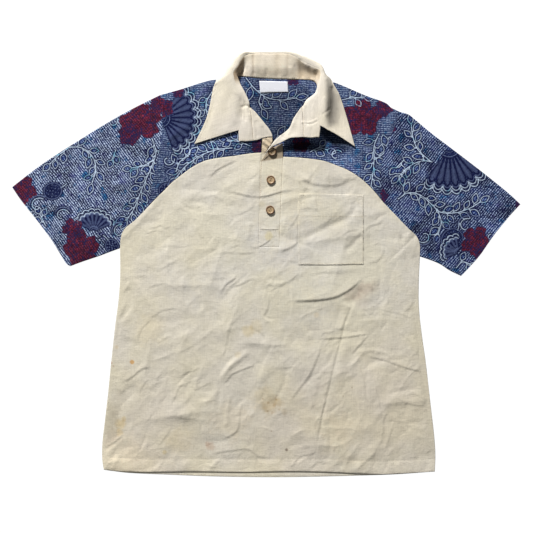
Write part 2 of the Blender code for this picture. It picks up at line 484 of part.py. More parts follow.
def button(name, x, y, base):
    """A turned shell button: rounded back, raised rim, dished face, two holes."""
    r, h = BUTTON_D / 2, BUTTON_H
    profile = [(0, 0), (0.62 * r, 0), (0.90 * r, 0.16 * h), (r, 0.45 * h), (0.97 * r, 0.80 * h), (0.88 * r, h), (0.76 * r, 0.94 * h),
               (0.64 * r, 0.72 * h), (0.45 * r, 0.64 * h), (0, 0.62 * h)]
    sides = 22
    verts, faces, rings = [], [], []
    for pr, pz in profile:
        if pr == 0:
            rings.append([len(verts)])
            verts.append((0, 0, pz))
        else:
            rings.append(list(range(len(verts), len(verts) + sides)))
            verts += [(pr * math.cos(2 * math.pi * k / sides), pr * math.sin(2 * math.pi * k / sides), pz) for k in range(sides)]
    for a, b in zip(rings[:-1], rings[1:]):
        for k in range(sides):
            n = (k + 1) % sides
            if len(a) == 1:
                faces.append((a[0], b[n], b[k]))
            elif len(b) == 1:
                faces.append((a[k], a[n], b[0]))
            else:
                faces.append((a[k], a[n], b[n], b[k]))
    obj = add_object(name, verts, faces, SHELL)
    cx, cy = place(x, y)
    obj.location = (cx, cy, base)
    for side, sign in (("a", -1), ("b", 1)):
        bpy.ops.mesh.primitive_cylinder_add(vertices=12, radius=BUTTON_HOLE_D / 2, depth=4 * h,
                                            location=(cx + sign * BUTTON_HOLE_GAP / 2 * 0.35, cy + sign * BUTTON_HOLE_GAP / 2 * 0.94, base + h / 2))
        cutter = bpy.context.object
        cutter.name = name + "_hole_" + side
        cutter.hide_render = True
        cutter.display_type = "WIRE"
        cut = obj.modifiers.new("hole_" + side, "BOOLEAN")
        cut.operation, cut.object, cut.solver = "DIFFERENCE", cutter, "EXACT"
    return obj


# ------------------------------------------------------------------ the shirt
def mark_line(edges, step):
    return np.vstack([curve(e, step)[:-1] for e in edges])


label_mark = mark_line(LABEL, 0.02)
pts, tris, z = panel("back_yoke", [NECK_BACK, SHOULDER_L_UNDER_COLLAR, SHOULDER_L, ARMHOLE_L_HIGH, back(YOKE_SEAM_BACK), back(ARMHOLE_R_HIGH),
                                   SHOULDER_R, SHOULDER_R_UNDER_COLLAR], SMALL_STEP, back_low, PRINT, marks=[label_mark])
laid_on("neck_label", label_mark, pts, tris, z, GAP, LABEL_CLOTH, WHITE)

panel("back_body", [YOKE_SEAM_BACK, ARMHOLE_L_LOW, SIDE_L, back(HEM_BACK), back(SIDE_R), back(ARMHOLE_R_LOW)], 0.09, back_low, NATURAL)

pocket_mark = mark_line(POCKET, 0.02)
pts, tris, z = panel("front_body", [YOKE_SEAM_R, *PLACKET_NOTCH, YOKE_SEAM_L, ARMHOLE_L_LOW, SIDE_L, back(HEM_FRONT), back(SIDE_R),
                                    back(ARMHOLE_R_LOW)], PANEL_STEP, front_low, NATURAL, marks=[pocket_mark])
laid_on("chest_pocket", pocket_mark, pts, tris, z, GAP, POCKET_CLOTH, NATURAL)

panel("front_yoke_right", [SHOULDER_R, SHOULDER_R_UNDER_COLLAR, NECK_FRONT_R, FRONT_EDGE_R, back(YOKE_SEAM_R), back(ARMHOLE_R_HIGH)],
      SMALL_STEP, yoke_r_low, PRINT)
panel("front_yoke_left", [SHOULDER_L, ARMHOLE_L_HIGH, back(YOKE_SEAM_L), back(FRONT_EDGE_L), back(NECK_FRONT_L), SHOULDER_L_UNDER_COLLAR],
      SMALL_STEP, yoke_l_low, PRINT)

sleeve("sleeve_right", SLEEVE_R, (ARMHOLE_R_HIGH, ARMHOLE_R_LOW), PRINT)
sleeve("sleeve_left", SLEEVE_L, (ARMHOLE_L_HIGH, ARMHOLE_L_LOW), PRINT)

def strip_low(shape, layers):
    """A strip's underside: its own heights, never lower than the layers of cloth beneath it."""
    height = thin_plate(shape["heights"])
    return lambda points: np.maximum(height(points), layers * (CLOTH + GAP))


over_height = strip_low(PLACKET_OVER, 2)
for name, shape, step, layers in (("placket_under", PLACKET_UNDER, 0.010, 1), ("placket_over", PLACKET_OVER, 0.011, 2),
                                  ("facing_right", LAPEL_R, 0.010, 2), ("facing_left", LAPEL_L, 0.011, 2)):
    panel(name, shape["outline"], step, strip_low(shape, layers), NATURAL, edge_step=step * 0.8)

# collar: sections joined along and across by smooth curves
sections = [row[1:] for row in COLLAR]
across_stand = np.array([[(*place(c[0], c[1]), c[2] * MM) for c in row[:3]] for row in sections])
leaf_rows = [row for row in sections if row[3]]
across_leaf = np.array([[(*place(c[0], c[1]), c[2] * MM) for c in row[2:]] for row in leaf_rows])


def swept(rows, per_along, per_across, trim_first, trim_last):
    cols = np.stack([smooth(rows[:, k], per=per_along) for k in range(rows.shape[1])], 1)
    fine = np.stack([smooth(r, per=per_across) for r in cols])
    if trim_first:
        fine[:, 0] += (fine[:, 1] - fine[:, 0]) / np.linalg.norm(fine[:, 1] - fine[:, 0], axis=1)[:, None] * GAP * 2
    if trim_last:
        fine[:, -1] += (fine[:, -2] - fine[:, -1]) / np.linalg.norm(fine[:, -2] - fine[:, -1], axis=1)[:, None] * GAP * 2
    return fine


sheet("collar_stand", swept(across_stand, 2, 2, False, True), COLLAR_CLOTH, NATURAL)
sheet("collar_leaf", swept(across_leaf, 2, 2, True, False), COLLAR_CLOTH, NATURAL)

for name, x, y in BUTTONS:
    cx, cy = place(x, y)
    ring = np.array([(cx + r * math.cos(a), cy + r * math.sin(a)) for r in (0, BUTTON_D / 4, BUTTON_D / 2)
                     for a in np.linspace(0, 2 * math.pi, 24)])
    button(name, x, y, float(over_height(ring).max()) + CLOTH + GAP * 1.5)
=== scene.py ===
"""Looks of a short-sleeved pullover shirt with a printed yoke, laid flat on a table.

Every cloth piece is a fine shell on its own solid's form. Outlines and heights come from the same short tables as the
solids: places in units U from the upper left of the laid-out shirt (x to the right, y down), heights in millimetres.
"""
import math

import bmesh
import bpy
import numpy as np
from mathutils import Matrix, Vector
from mathutils.geometry import delaunay_2d_cdt
from mathutils.kdtree import KDTree


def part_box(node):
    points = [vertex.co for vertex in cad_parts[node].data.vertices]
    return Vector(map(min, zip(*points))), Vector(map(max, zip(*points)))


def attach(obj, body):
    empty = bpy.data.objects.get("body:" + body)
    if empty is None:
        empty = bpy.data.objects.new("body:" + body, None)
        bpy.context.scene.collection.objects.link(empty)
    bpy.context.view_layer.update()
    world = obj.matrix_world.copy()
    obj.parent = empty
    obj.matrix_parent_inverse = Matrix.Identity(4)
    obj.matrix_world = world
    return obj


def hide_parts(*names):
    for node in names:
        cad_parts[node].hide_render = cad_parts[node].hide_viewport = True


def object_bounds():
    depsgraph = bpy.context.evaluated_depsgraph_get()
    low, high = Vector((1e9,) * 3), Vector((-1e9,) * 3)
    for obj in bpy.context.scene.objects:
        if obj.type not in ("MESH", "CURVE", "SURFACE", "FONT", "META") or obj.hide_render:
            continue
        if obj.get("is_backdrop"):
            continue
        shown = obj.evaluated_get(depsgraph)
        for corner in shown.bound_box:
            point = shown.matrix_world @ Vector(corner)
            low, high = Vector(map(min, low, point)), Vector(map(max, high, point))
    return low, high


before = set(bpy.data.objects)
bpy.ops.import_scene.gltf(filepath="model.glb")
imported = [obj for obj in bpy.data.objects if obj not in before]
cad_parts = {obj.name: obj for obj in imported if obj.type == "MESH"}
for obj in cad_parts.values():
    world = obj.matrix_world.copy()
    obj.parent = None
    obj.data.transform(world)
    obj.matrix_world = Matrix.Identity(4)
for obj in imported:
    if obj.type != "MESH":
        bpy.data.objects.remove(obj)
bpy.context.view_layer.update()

# ------------------------------------------------------------------ sizes (metres)
U = 0.0018              # one table unit
MIDDLE = (266.3, 265.09)  # the table place that is the origin
MM = 0.001
CLOTH = 0.0012          # one layer of cloth, with its seam allowance
COLLAR_CLOTH = 0.0016   # collar and stand: two layers and interfacing
GAP = 0.0003            # between two sewn pieces
AIR = 0.0016            # how far the front floats off the back in the middle of the shirt
AIR_REACH = 0.030       # distance from a folded edge over which it rises
COLLAR_LIFT = 0.0020    # the back yoke lies this high where the collar's fall is under it
BUTTON_D = 0.0155
BUTTON_H = 0.0028
BUTTON_HOLE_D = 0.0018
BUTTON_HOLE_GAP = 0.0036
POCKET_CLOTH = 0.0007
LABEL_CLOTH = 0.0010
BODY_STEP = 0.0021      # spacing of the points on the body
PRINT_STEP = 0.0013     # on printed pieces, which carry fine lines
FINE_STEP = 0.0011      # on strips and facings

def place(x, y):
    """Table units to metres."""
    return ((x - MIDDLE[0]) * U, (MIDDLE[1] - y) * U)



# ------------------------------------------------------------------ seams and edges, columns (x, y) in table units
SHOULDER_R = [(160, 95.2), (170, 92.4), (180, 89.6), (190, 86.4), (200, 83.2), (210, 80.5), (216.2, 79.8)]
SHOULDER_R_UNDER_COLLAR = [(216.2, 79.8), (218.4, 85.4), (226, 86.4), (232, 84), (235, 80)]
SHOULDER_L = [(333.2, 82.2), (340, 84.6), (350, 88.8), (360, 93.2), (370, 97.2), (380, 100.6), (387, 103.8), (391, 107.6), (396, 110), (400, 112)]
SHOULDER_L_UNDER_COLLAR = [(319.5, 89), (324, 90), (330.6, 88.6), (333.2, 82.2)]
NECK_BACK = [(235, 80), (237.4, 76.9), (250, 77.6), (260, 78.5), (270, 79), (290, 79.7), (310, 80.4), (314.4, 82.2), (317, 85.4), (319.5, 89)]
NECK_FRONT_R = [(235, 80), (237.5, 90), (242.5, 99.8), (249, 108.3), (253.5, 113.2), (259, 119.6), (264, 125.6), (268.4, 131.6), (270.2, 136.6)]
FRONT_EDGE_R = [(270.2, 136.6), (262.2, 139.4), (261.3, 152.6)]
NECK_FRONT_L = [(319.5, 89), (319.4, 95.4), (314, 101), (308.2, 104.6), (302.8, 108.6), (298.4, 114.8), (294.2, 121), (290.6, 127.8), (283.8, 135)]
FRONT_EDGE_L = [(283.8, 135), (283.4, 156.9)]
YOKE_SEAM_R = [(148.5, 206.3), (158, 196.5), (165, 189.7), (170, 184.3), (182.8, 174), (195.5, 165.2), (208, 159.9), (221, 157.7), (234, 156), (250, 153.5), (261.3, 152.6)]
YOKE_SEAM_L = [(283.4, 156.9), (297.6, 157.5), (310, 158.8), (323, 160.8), (336, 165.2), (349, 170.8), (362, 179.5), (373, 190), (383, 202)]
YOKE_SEAM_BACK = [(148.5, 206.3), (190, 194), (230, 188), (266, 186.5), (302, 187.5), (342, 192.5), (383, 202)]
ARMHOLE_R_HIGH = [(160, 95.2), (162, 110), (162, 125), (160.8, 140), (158.4, 155), (155, 170), (151.4, 188), (148.5, 206.3)]
ARMHOLE_R_LOW = [(148.5, 206.3), (135.5, 219.6), (124, 229.6), (120.6, 238), (120, 248.3)]
ARMHOLE_L_HIGH = [(400, 112), (396.4, 122), (391, 136), (385.4, 150), (381.8, 165), (381, 181), (383, 202)]
ARMHOLE_L_LOW = [(383, 202), (397, 216.5), (408, 228), (417, 236.8), (420, 245), (420, 256.6)]
SIDE_R = [(120, 248.3), (120.2, 274), (118.6, 299.5), (115.4, 324), (111.2, 362), (108, 394), (105, 420), (102.4, 443), (102.3, 459.5), (103.7, 469.6)]
SIDE_L = [(420, 256.6), (418.9, 279), (419, 308), (422.6, 340), (425.5, 360), (430, 399), (434.6, 440), (435.4, 456), (434.8, 471.6)]
HEM_FRONT = [(103.7, 469.6), (113, 471), (145, 472), (194.5, 471.4), (244, 472), (294, 471.2), (334, 472.2), (380, 474.2), (434.8, 471.6)]
HEM_BACK = [(103.7, 469.6), (125, 472.6), (170, 474.8), (219, 476.6), (269, 477.2), (307, 476.9), (360, 475.6), (395, 474.4), (434.8, 471.6)]
PLACKET_NOTCH = [[(261.3, 152.6), (260, 162), (259.2, 205), (258.2, 247.6)], [(258.2, 247.6), (279.6, 247.6)],
                 [(279.6, 247.6), (281.2, 205), (283, 164), (283.4, 156.9)]]

SLEEVE_R = {"over": [(160, 95.2), (140, 105), (120, 115.6), (100, 127.3), (80, 139.8), (60, 152.4), (40, 165.8), (20, 181), (12.3, 187.2)],
            "under": [(120, 248.3), (110, 252), (100, 255.8), (90, 259.2), (80, 262.6), (70.5, 266.2)],
            "cuff": [(12.3, 187.2), (21, 200), (37, 220.2), (52, 240.4), (61, 255), (67, 264.2), (70.5, 266.2)]}
SLEEVE_L = {"over": [(400, 112), (408.6, 114.6), (414, 118.8), (430, 132.2), (450, 147.4), (470, 162.6), (490, 178.2), (510, 194.6), (520.3, 204.2)],
            "under": [(420, 256.6), (430, 260), (440, 264.2), (449, 270.2), (461, 276)],
            "cuff": [(520.3, 204.2), (510, 215.4), (502, 225), (494, 235), (487, 245), (480, 255), (471, 265.4), (461, 276)]}

POCKET = [[(298.6, 193.8), (330, 194.2), (363.4, 195.2)], [(363.4, 195.2), (363.6, 230), (363.4, 264.4)],
          [(363.4, 264.4), (330, 265), (298.8, 264.8)], [(298.8, 264.8), (298.4, 230), (298.6, 193.8)]]
LABEL = [[(259.2, 81), (287.6, 81.8)], [(287.6, 81.8), (288.4, 92.2)], [(288.4, 92.2), (260.2, 93)], [(260.2, 93), (259.2, 81)]]

# ------------------------------------------------------------------ turned-back facings and placket strips: outline, then heights
LAPEL_R = {"outline": [[(251.2, 108.6), (255.2, 112), (260.2, 118), (265.2, 124), (269.8, 130), (272, 134.6), (272.6, 137)],
                       [(272.6, 137), (267, 137.4), (262, 138.6), (257.5, 140.2), (253.9, 140.8)],
                       [(253.9, 140.8), (253.2, 130), (252.2, 118), (251.2, 108.6)]],
           "heights": [(251.2, 109, 9.4), (252.4, 120, 8.4), (253.5, 132, 7.2), (254, 140, 6.2), (262, 138, 6.2), (272, 136.5, 6.0),
                       (266, 125, 7.6), (258, 115, 8.8), (260, 128, 8.2)]}
LAPEL_L = {"outline": [[(262, 159.6), (265.4, 153.4), (268.6, 148.6), (272.4, 143.4), (275.4, 140), (280, 136), (284.2, 133), (288.4, 129.2), (290.4, 126), (293.2, 119.2), (297.2, 113), (301.2, 107.8)],
                       [(301.2, 107.8), (302, 112), (302.4, 124), (302.9, 137.6)],
                       [(302.9, 137.6), (297, 138), (290, 138.6), (285, 141), (280, 143.5), (272.6, 147), (268, 151), (264.6, 156), (262, 159.6)]],
           "heights": [(262, 159.2, 5.8), (266, 153.5, 8.6), (272, 145.5, 11.2), (280, 139.5, 12.4), (288, 133, 14.0), (296, 124, 16.0),
                       (300, 110, 16.4), (302.6, 118, 16.6), (302.8, 136, 17.2), (292, 137, 16.4)]}
PLACKET_UNDER = {"outline": [[(262.3, 139), (267, 137.9), (272.6, 137.4)], [(272.6, 137.4), (272.2, 143), (268, 148.6), (265.6, 153.4), (264.6, 158)],
                             [(264.6, 158), (281.6, 163)], [(281.6, 163), (280.4, 205), (279, 246.4)], [(279, 246.4), (259.2, 246.4)],
                             [(259.2, 246.4), (260, 205), (261.2, 162), (261.6, 150), (262.3, 139)]],
                 "heights": [(262.5, 139.5, 5.4), (272, 138, 5.2), (270, 143, 5.2), (264, 149, 3.8), (263, 156, 2.0), (264.5, 161, 1.5),
                             (272, 164, 1.5), (281, 164, 1.5), (260, 205, 1.5), (280, 205, 1.5), (260, 245, 1.5), (279, 245, 1.5), (270, 225, 1.5)]}
PLACKET_OVER = {"outline": [[(260.6, 161), (262.6, 158.6), (266, 154), (270, 149.6), (276, 146), (282.9, 143)], [(282.9, 143), (283, 157), (282.6, 166), (280.8, 205), (279.2, 247)],
                            [(279.2, 247), (258.7, 247)], [(258.7, 247), (259.6, 205), (260.6, 161)]],
                "heights": [(261.5, 161, 3.5), (267, 155.5, 3.9), (273, 149.5, 4.1), (282, 145, 3.9), (282.5, 157, 3.3), (271, 165, 3.4),
                            (260, 205, 3.1), (281, 205, 3.1), (259, 246, 3.0), (279, 246, 3.0), (270, 190, 3.3), (270, 225, 3.2)]}

# ------------------------------------------------------------------ collar: a row for each section from the wearer's right to left.
# Columns (x, y, height): neck seam, middle of the stand, join of stand and leaf, then four places across the leaf to its edge.
COLLAR = [
    ("band_end_r", (253.2, 140.9, 6.2), (246.6, 141.4, 6.4), (239.7, 141.5, 6.2), None, None, None, None),
    ("notch_r", (252.4, 129.4, 7.6), (246.2, 129.9, 7.8), (239.5, 130.5, 7.4), (228.4, 133.5, 7.2), (216.8, 137.2, 6.6), (205.3, 140.8, 6.2), (194.3, 144.4, 6.0)),
    ("leaf_r_low", (251.6, 121, 8.2), (246.8, 121.4, 8.6), (241.8, 121.6, 7.6), (231.4, 123.6, 8.6), (220.8, 126.2, 7.6), (210.8, 128.8, 6.6), (201, 131, 6.0)),
    ("leaf_r_mid", (250.6, 111.6, 9.2), (247, 111.8, 9.6), (242.6, 112, 8.2), (233, 113.4, 9.6), (223.4, 115, 8.6), (214.6, 116.6, 7.0), (206.6, 118.2, 6.2)),
    ("crossing_r", (249.6, 106.2, 7.8), (248.6, 103.6, 11.0), (242.6, 102.2, 9.6), (234.2, 103.2, 10.6), (225.4, 104.2, 9.6), (217.2, 105, 7.6), (209.9, 105.8, 6.4)),
    ("roll_r_low", (243.6, 98.0, 4.6), (245.4, 94.6, 10.8), (238.8, 93.4, 11.8), (231.6, 93.8, 11.6), (224.4, 94.6, 10.2), (217.8, 95.6, 8.2), (211.6, 96.6, 6.8)),
    ("roll_r_mid", (238.6, 88.6, 5.0), (240.2, 84.8, 10.6), (235.4, 83.4, 12.4), (230, 83.6, 12.4), (224.2, 84.6, 11.2), (218.8, 86, 9.2), (213.6, 87.6, 7.2)),
    ("roll_r_high", (237, 81.6, 4.6), (238, 79.2, 10.6), (234, 77.4, 13.2), (229, 77.6, 13.2), (224, 79, 11.8), (219.6, 80.6, 9.8), (215.6, 82.8, 8.0)),
    ("shoulder_r", (236.6, 78.2, 4.0), (236.9, 76, 10.4), (233.6, 73.6, 13.6), (229.6, 73, 13.4), (225.4, 74.2, 10.8), (221.4, 76.4, 6.8), (218.6, 78.9, 3.2)),
    ("turn_r", (238.2, 76.4, 3.6), (241.0, 71.2, 4.4), (238.0, 66.6, 13.8), (234.0, 63.4, 13.6), (228.6, 66.0, 7.4), (226.6, 74.2, 1.6), (227.4, 81.6, 0.8)),
    ("side_r", (240.8, 76.4, 3.3), (243.2, 69.6, 3.9), (241.4, 60.4, 13.4), (239.0, 55.8, 13.8), (235.6, 58.4, 6.4), (235.6, 70.2, 0.9), (236.6, 83, 0.8)),
    ("corner_r", (244.8, 76.6, 3.2), (246.2, 67.0, 6.6), (245.6, 56.0, 11.6), (244.4, 53.0, 12.8), (242.6, 55.4, 4.4), (243.2, 68, 0.8), (243.6, 84, 0.8)),
    ("back_r", (253, 77.2, 3.2), (253, 66.6, 10.0), (252.8, 54.2, 12.4), (252.8, 52.7, 11.8), (252.8, 55.2, 3.2), (252.8, 69, 0.8), (252.8, 84.6, 0.8)),
    ("back_mid", (268, 78.3, 3.2), (268, 67.0, 10.0), (268, 54.0, 12.4), (268, 52.5, 11.8), (268, 55.2, 3.2), (268, 69.6, 0.8), (268, 85, 0.8)),
    ("back_l", (290, 79.1, 3.2), (290.2, 67.8, 9.8), (290.4, 55.0, 13.2), (290.4, 52.9, 12.8), (290, 55.6, 3.4), (289.6, 70.4, 0.8), (289, 85.6, 0.8)),
    ("back_l_end", (302, 79.6, 3.2), (302.4, 70.6, 5.0), (302.2, 61.6, 13.2), (303.4, 57.0, 13.6), (302.4, 59.8, 4.2), (301, 72.6, 0.8), (299.6, 86.2, 0.8)),
    ("side_l", (309, 79.8, 3.3), (311.4, 74.0, 5.2), (312.8, 66.8, 14.2), (314.6, 62.0, 14.0), (311.8, 64.4, 5.8), (309.2, 74, 0.9), (308.6, 86.6, 0.8)),
    ("corner_l", (313, 80.4, 3.6), (316.6, 75.8, 6.2), (319.4, 69.8, 15.6), (321.4, 66.8, 14.8), (319.6, 69.0, 6.6), (316, 77.2, 1.2), (316, 87.4, 0.8)),
    ("turn_l", (315, 82, 3.8), (317.6, 79, 8.0), (320.4, 74.2, 16.2), (323.8, 72.8, 15.4), (324.6, 75, 7.6), (322.6, 80.4, 1.4), (322.6, 88, 0.8)),
    ("shoulder_l", (316.8, 84.8, 4.2), (317.8, 82.6, 9.4), (320, 79, 16.8), (324.4, 77.2, 16.8), (328.0, 77.6, 11.4), (329.8, 79.0, 6.4), (330.8, 81, 3.2)),
    ("roll_l_high", (317.6, 89.6, 5.4), (317.4, 87, 11.8), (319.4, 84, 17.4), (324.6, 82.8, 18.0), (328.8, 82.8, 12.4), (331.6, 83.6, 7.4), (333.6, 85.2, 6.4)),
    ("roll_l_low", (316.4, 95.4, 9.0), (315.4, 93.4, 14.4), (318.4, 92.2, 17.8), (325.2, 91.4, 18.8), (330.6, 91.8, 10.4), (334.0, 92.2, 6.8), (338.2, 92.4, 7.0)),
    ("crossing_l", (306.8, 100.2, 13.6), (311, 98.6, 17.2), (317.8, 99.2, 18.4), (325.6, 99.6, 19.0), (331.4, 100.4, 10.0), (335.8, 100.8, 6.4), (341.4, 100.6, 7.0)),
    ("leaf_l_mid", (302.6, 108.4, 16.4), (310, 109, 17.8), (318, 109.6, 18.8), (325.4, 110.2, 19.2), (331.2, 111, 10.4), (336.6, 111, 6.4), (344.6, 110.6, 7.4)),
    ("leaf_l_low", (303.2, 118, 16.8), (310.6, 118.4, 18.0), (318.8, 119, 19.4), (325.6, 121.0, 18.8), (331.4, 123.2, 11.8), (338.6, 124.8, 7.4), (348.8, 125, 7.6)),
    ("notch_l", (303.4, 126.6, 17.2), (311, 126.5, 18.6), (319.5, 126.4, 20.0), (327.6, 130.6, 18.6), (335.4, 134.6, 14.6), (344.0, 139.8, 10.4), (354.9, 147, 7.6)),
    ("band_end_l", (303.6, 137.6, 17.4), (311, 138.2, 18.4), (318.4, 137.9, 19.2), None, None, None, None),
]

# ------------------------------------------------------------------ curves and height functions
def smooth(rows, step=None, per=None):
    """A smooth curve through the rows (2-D or 3-D), with a point about every step, or per points between two rows."""
    pts = np.array(rows, float)
    n = len(pts)
    if n == 2:
        count = per or max(1, int(round(np.linalg.norm(pts[1] - pts[0]) / step)))
        return np.array([pts[0] + (pts[1] - pts[0]) * k / count for k in range(count + 1)])
    ext = np.vstack([2 * pts[0] - pts[1], pts, 2 * pts[-1] - pts[-2]])
    out = []
    for i in range(n - 1):
        p0, p1, p2, p3 = ext[i:i + 4]
        t = [0.0]
        for a, b in ((p0, p1), (p1, p2), (p2, p3)):
            t.append(t[-1] + max(np.linalg.norm(b - a), 1e-9) ** 0.5)
        count = per or max(1, int(round(np.linalg.norm(p2 - p1) / step)))
        for k in range(count):
            u = t[1] + (t[2] - t[1]) * k / count
            a1 = (t[1] - u) / (t[1] - t[0]) * p0 + (u - t[0]) / (t[1] - t[0]) * p1
            a2 = (t[2] - u) / (t[2] - t[1]) * p1 + (u - t[1]) / (t[2] - t[1]) * p2
            a3 = (t[3] - u) / (t[3] - t[2]) * p2 + (u - t[2]) / (t[3] - t[2]) * p3
            b1 = (t[2] - u) / (t[2] - t[0]) * a1 + (u - t[0]) / (t[2] - t[0]) * a2
            b2 = (t[3] - u) / (t[3] - t[1]) * a2 + (u - t[1]) / (t[3] - t[1]) * a3
            out.append((t[2] - u) / (t[2] - t[1]) * b1 + (u - t[1]) / (t[2] - t[1]) * b2)
    out.append(pts[-1])
    return np.array(out)


def metres(rows):
    return np.array([place(*r[:2]) for r in rows])


def curve(rows, step):
    return smooth(metres(rows), step)


def back(rows):
    return list(reversed(rows))


def outline(edges, step, inset):
    """A closed outline from its edges, each smooth and with a corner between them, set in by half the seam gap."""
    pts = np.vstack([curve(e, step)[:-1] for e in edges])
    area = 0.5 * np.sum(pts[:, 0] * np.roll(pts[:, 1], -1) - np.roll(pts[:, 0], -1) * pts[:, 1])
    if area < 0:
        pts = pts[::-1]
    before, after = pts - np.roll(pts, 1, 0), np.roll(pts, -1, 0) - pts
    before /= np.linalg.norm(before, axis=1)[:, None]
    after /= np.linalg.norm(after, axis=1)[:, None]
    n1, n2 = np.stack([-before[:, 1], before[:, 0]], 1), np.stack([-after[:, 1], after[:, 0]], 1)
    mid = n1 + n2
    mid /= np.maximum(np.linalg.norm(mid, axis=1), 1e-6)[:, None]
    cos = np.clip(np.sum(mid * n1, axis=1), 0.45, 1)
    return pts + mid * (inset / cos)[:, None]


def distance_to(points, lines):
    """Shortest distance in plan from each point to any of the open lines."""
    best = np.full(len(points), 1e9)
    for line in lines:
        for a, b in zip(line[:-1], line[1:]):
            ab = b - a
            t = np.clip(((points - a) @ ab) / (ab @ ab), 0, 1)
            best = np.minimum(best, np.linalg.norm(points - (a + t[:, None] * ab), axis=1))
    return best


def inside(points, poly):
    hit = np.zeros(len(points), bool)
    for a, b in zip(poly, np.roll(poly, -1, 0)):
        cross = (a[1] > points[:, 1]) != (b[1] > points[:, 1])
        x = a[0] + (points[:, 1] - a[1]) / (b[1] - a[1] + 1e-15) * (b[0] - a[0])
        hit ^= cross & (points[:, 0] < x)
    return hit


def ease(t):
    t = np.clip(t, 0, 1)
    return t * t * (3 - 2 * t)

FOLDED_EDGES = [curve(e, 0.01) for e in (SHOULDER_R, SHOULDER_L, SIDE_R, SIDE_L, HEM_FRONT, SLEEVE_R["over"], SLEEVE_R["under"],
                                         SLEEVE_L["over"], SLEEVE_L["under"], SLEEVE_R["cuff"], SLEEVE_L["cuff"])]



def lift(points):
    """1 where the collar's fall lies under the back yoke, easing to 0 around it."""
    x, y = points[:, 0] / U + MIDDLE[0], MIDDLE[1] - points[:, 1] / U
    across = ease((x - 204) / 12) * ease((344 - x) / 12)
    return across * ease((106 - y) / 17)



def rise_along(points, rows, heights, half):
    """Extra height next to a roll line, where a layer turns up into it; heights are one for each row, in mm."""
    line = metres(rows)
    best, value = np.full(len(points), 1e9), np.zeros(len(points))
    for a, b, ha, hb in zip(line[:-1], line[1:], heights[:-1], heights[1:]):
        ab = b - a
        t = np.clip(((points - a) @ ab) / (ab @ ab), 0, 1)
        d = np.linalg.norm(points - (a + t[:, None] * ab), axis=1)
        near = d < best
        best, value = np.where(near, d, best), np.where(near, ha + (hb - ha) * t, value)
    return value * MM * np.exp(-(best / half) ** 2)


def thin_plate(rows):
    """A smooth height through rows of (x, y, height in mm)."""
    c = metres(rows) / 0.01
    h = np.array([r[2] for r in rows]) * MM

    def kernel(d):
        return d * d * np.log(np.maximum(d, 1e-9))

    n = len(c)
    k = kernel(np.linalg.norm(c[:, None] - c[None], axis=2)) + np.eye(n) * 0.02
    p = np.hstack([np.ones((n, 1)), c])
    system = np.block([[k, p], [p.T, np.zeros((3, 3))]])
    w = np.linalg.solve(system, np.concatenate([h, np.zeros(3)]))

    def height(points):
        q = points / 0.01
        return kernel(np.linalg.norm(q[:, None] - c[None], axis=2)) @ w[:n] + w[n] + q @ w[n + 1:]

    return height



def noise(points, size, seed):
    """Smooth hills between about -1 and 1, size metres across."""
    rng = np.random.default_rng(seed)
    angle = rng.random((128, 128)) * 2 * math.pi
    turn = seed * 0.7
    c, s = math.cos(turn), math.sin(turn)
    p = np.stack([points[:, 0] * c - points[:, 1] * s, points[:, 0] * s + points[:, 1] * c], 1) / size + 300.5
    i = np.floor(p).astype(int)
    f = p - i
    w = f * f * f * (f * (f * 6 - 15) + 10)

    def corner(dx, dy):
        a = angle[(i[:, 0] + dx) % 128, (i[:, 1] + dy) % 128]
        return np.cos(a) * (f[:, 0] - dx) + np.sin(a) * (f[:, 1] - dy)

    low = corner(0, 0) + (corner(1, 0) - corner(0, 0)) * w[:, 0]
    high = corner(0, 1) + (corner(1, 1) - corner(0, 1)) * w[:, 0]
    return (low + (high - low) * w[:, 1]) * 1.5


def along_line(points, line, reach):
    """For the points within reach of an open line: their indices, signed distance (left is positive) and place along it from 0 to 1."""
    low, high = line.min(0) - reach, line.max(0) + reach
    near = np.nonzero(((points >= low) & (points <= high)).all(1))[0]
    q = points[near]
    best, signed, along = np.full(len(q), 1e9), np.zeros(len(q)), np.zeros(len(q))
    steps = np.linalg.norm(np.diff(line, axis=0), axis=1)
    total, start = steps.sum(), 0.0
    for a, b, length in zip(line[:-1], line[1:], steps):
        ab = b - a
        t = np.clip(((q - a) @ ab) / (ab @ ab), 0, 1)
        off = q - (a + t[:, None] * ab)
        d = np.linalg.norm(off, axis=1)
        side = np.sign(ab[0] * (q[:, 1] - a[1]) - ab[1] * (q[:, 0] - a[0]))
        closer = d < best
        best = np.where(closer, d, best)
        signed = np.where(closer, d * np.where(side == 0, 1, side), signed)
        along = np.where(closer, (start + t * length) / total, along)
        start += length
    keep = best < reach
    return near[keep], signed[keep], along[keep]


# ------------------------------------------------------------------ creases, placed one by one
UP_LEFT = np.array([-0.42, 0.91])
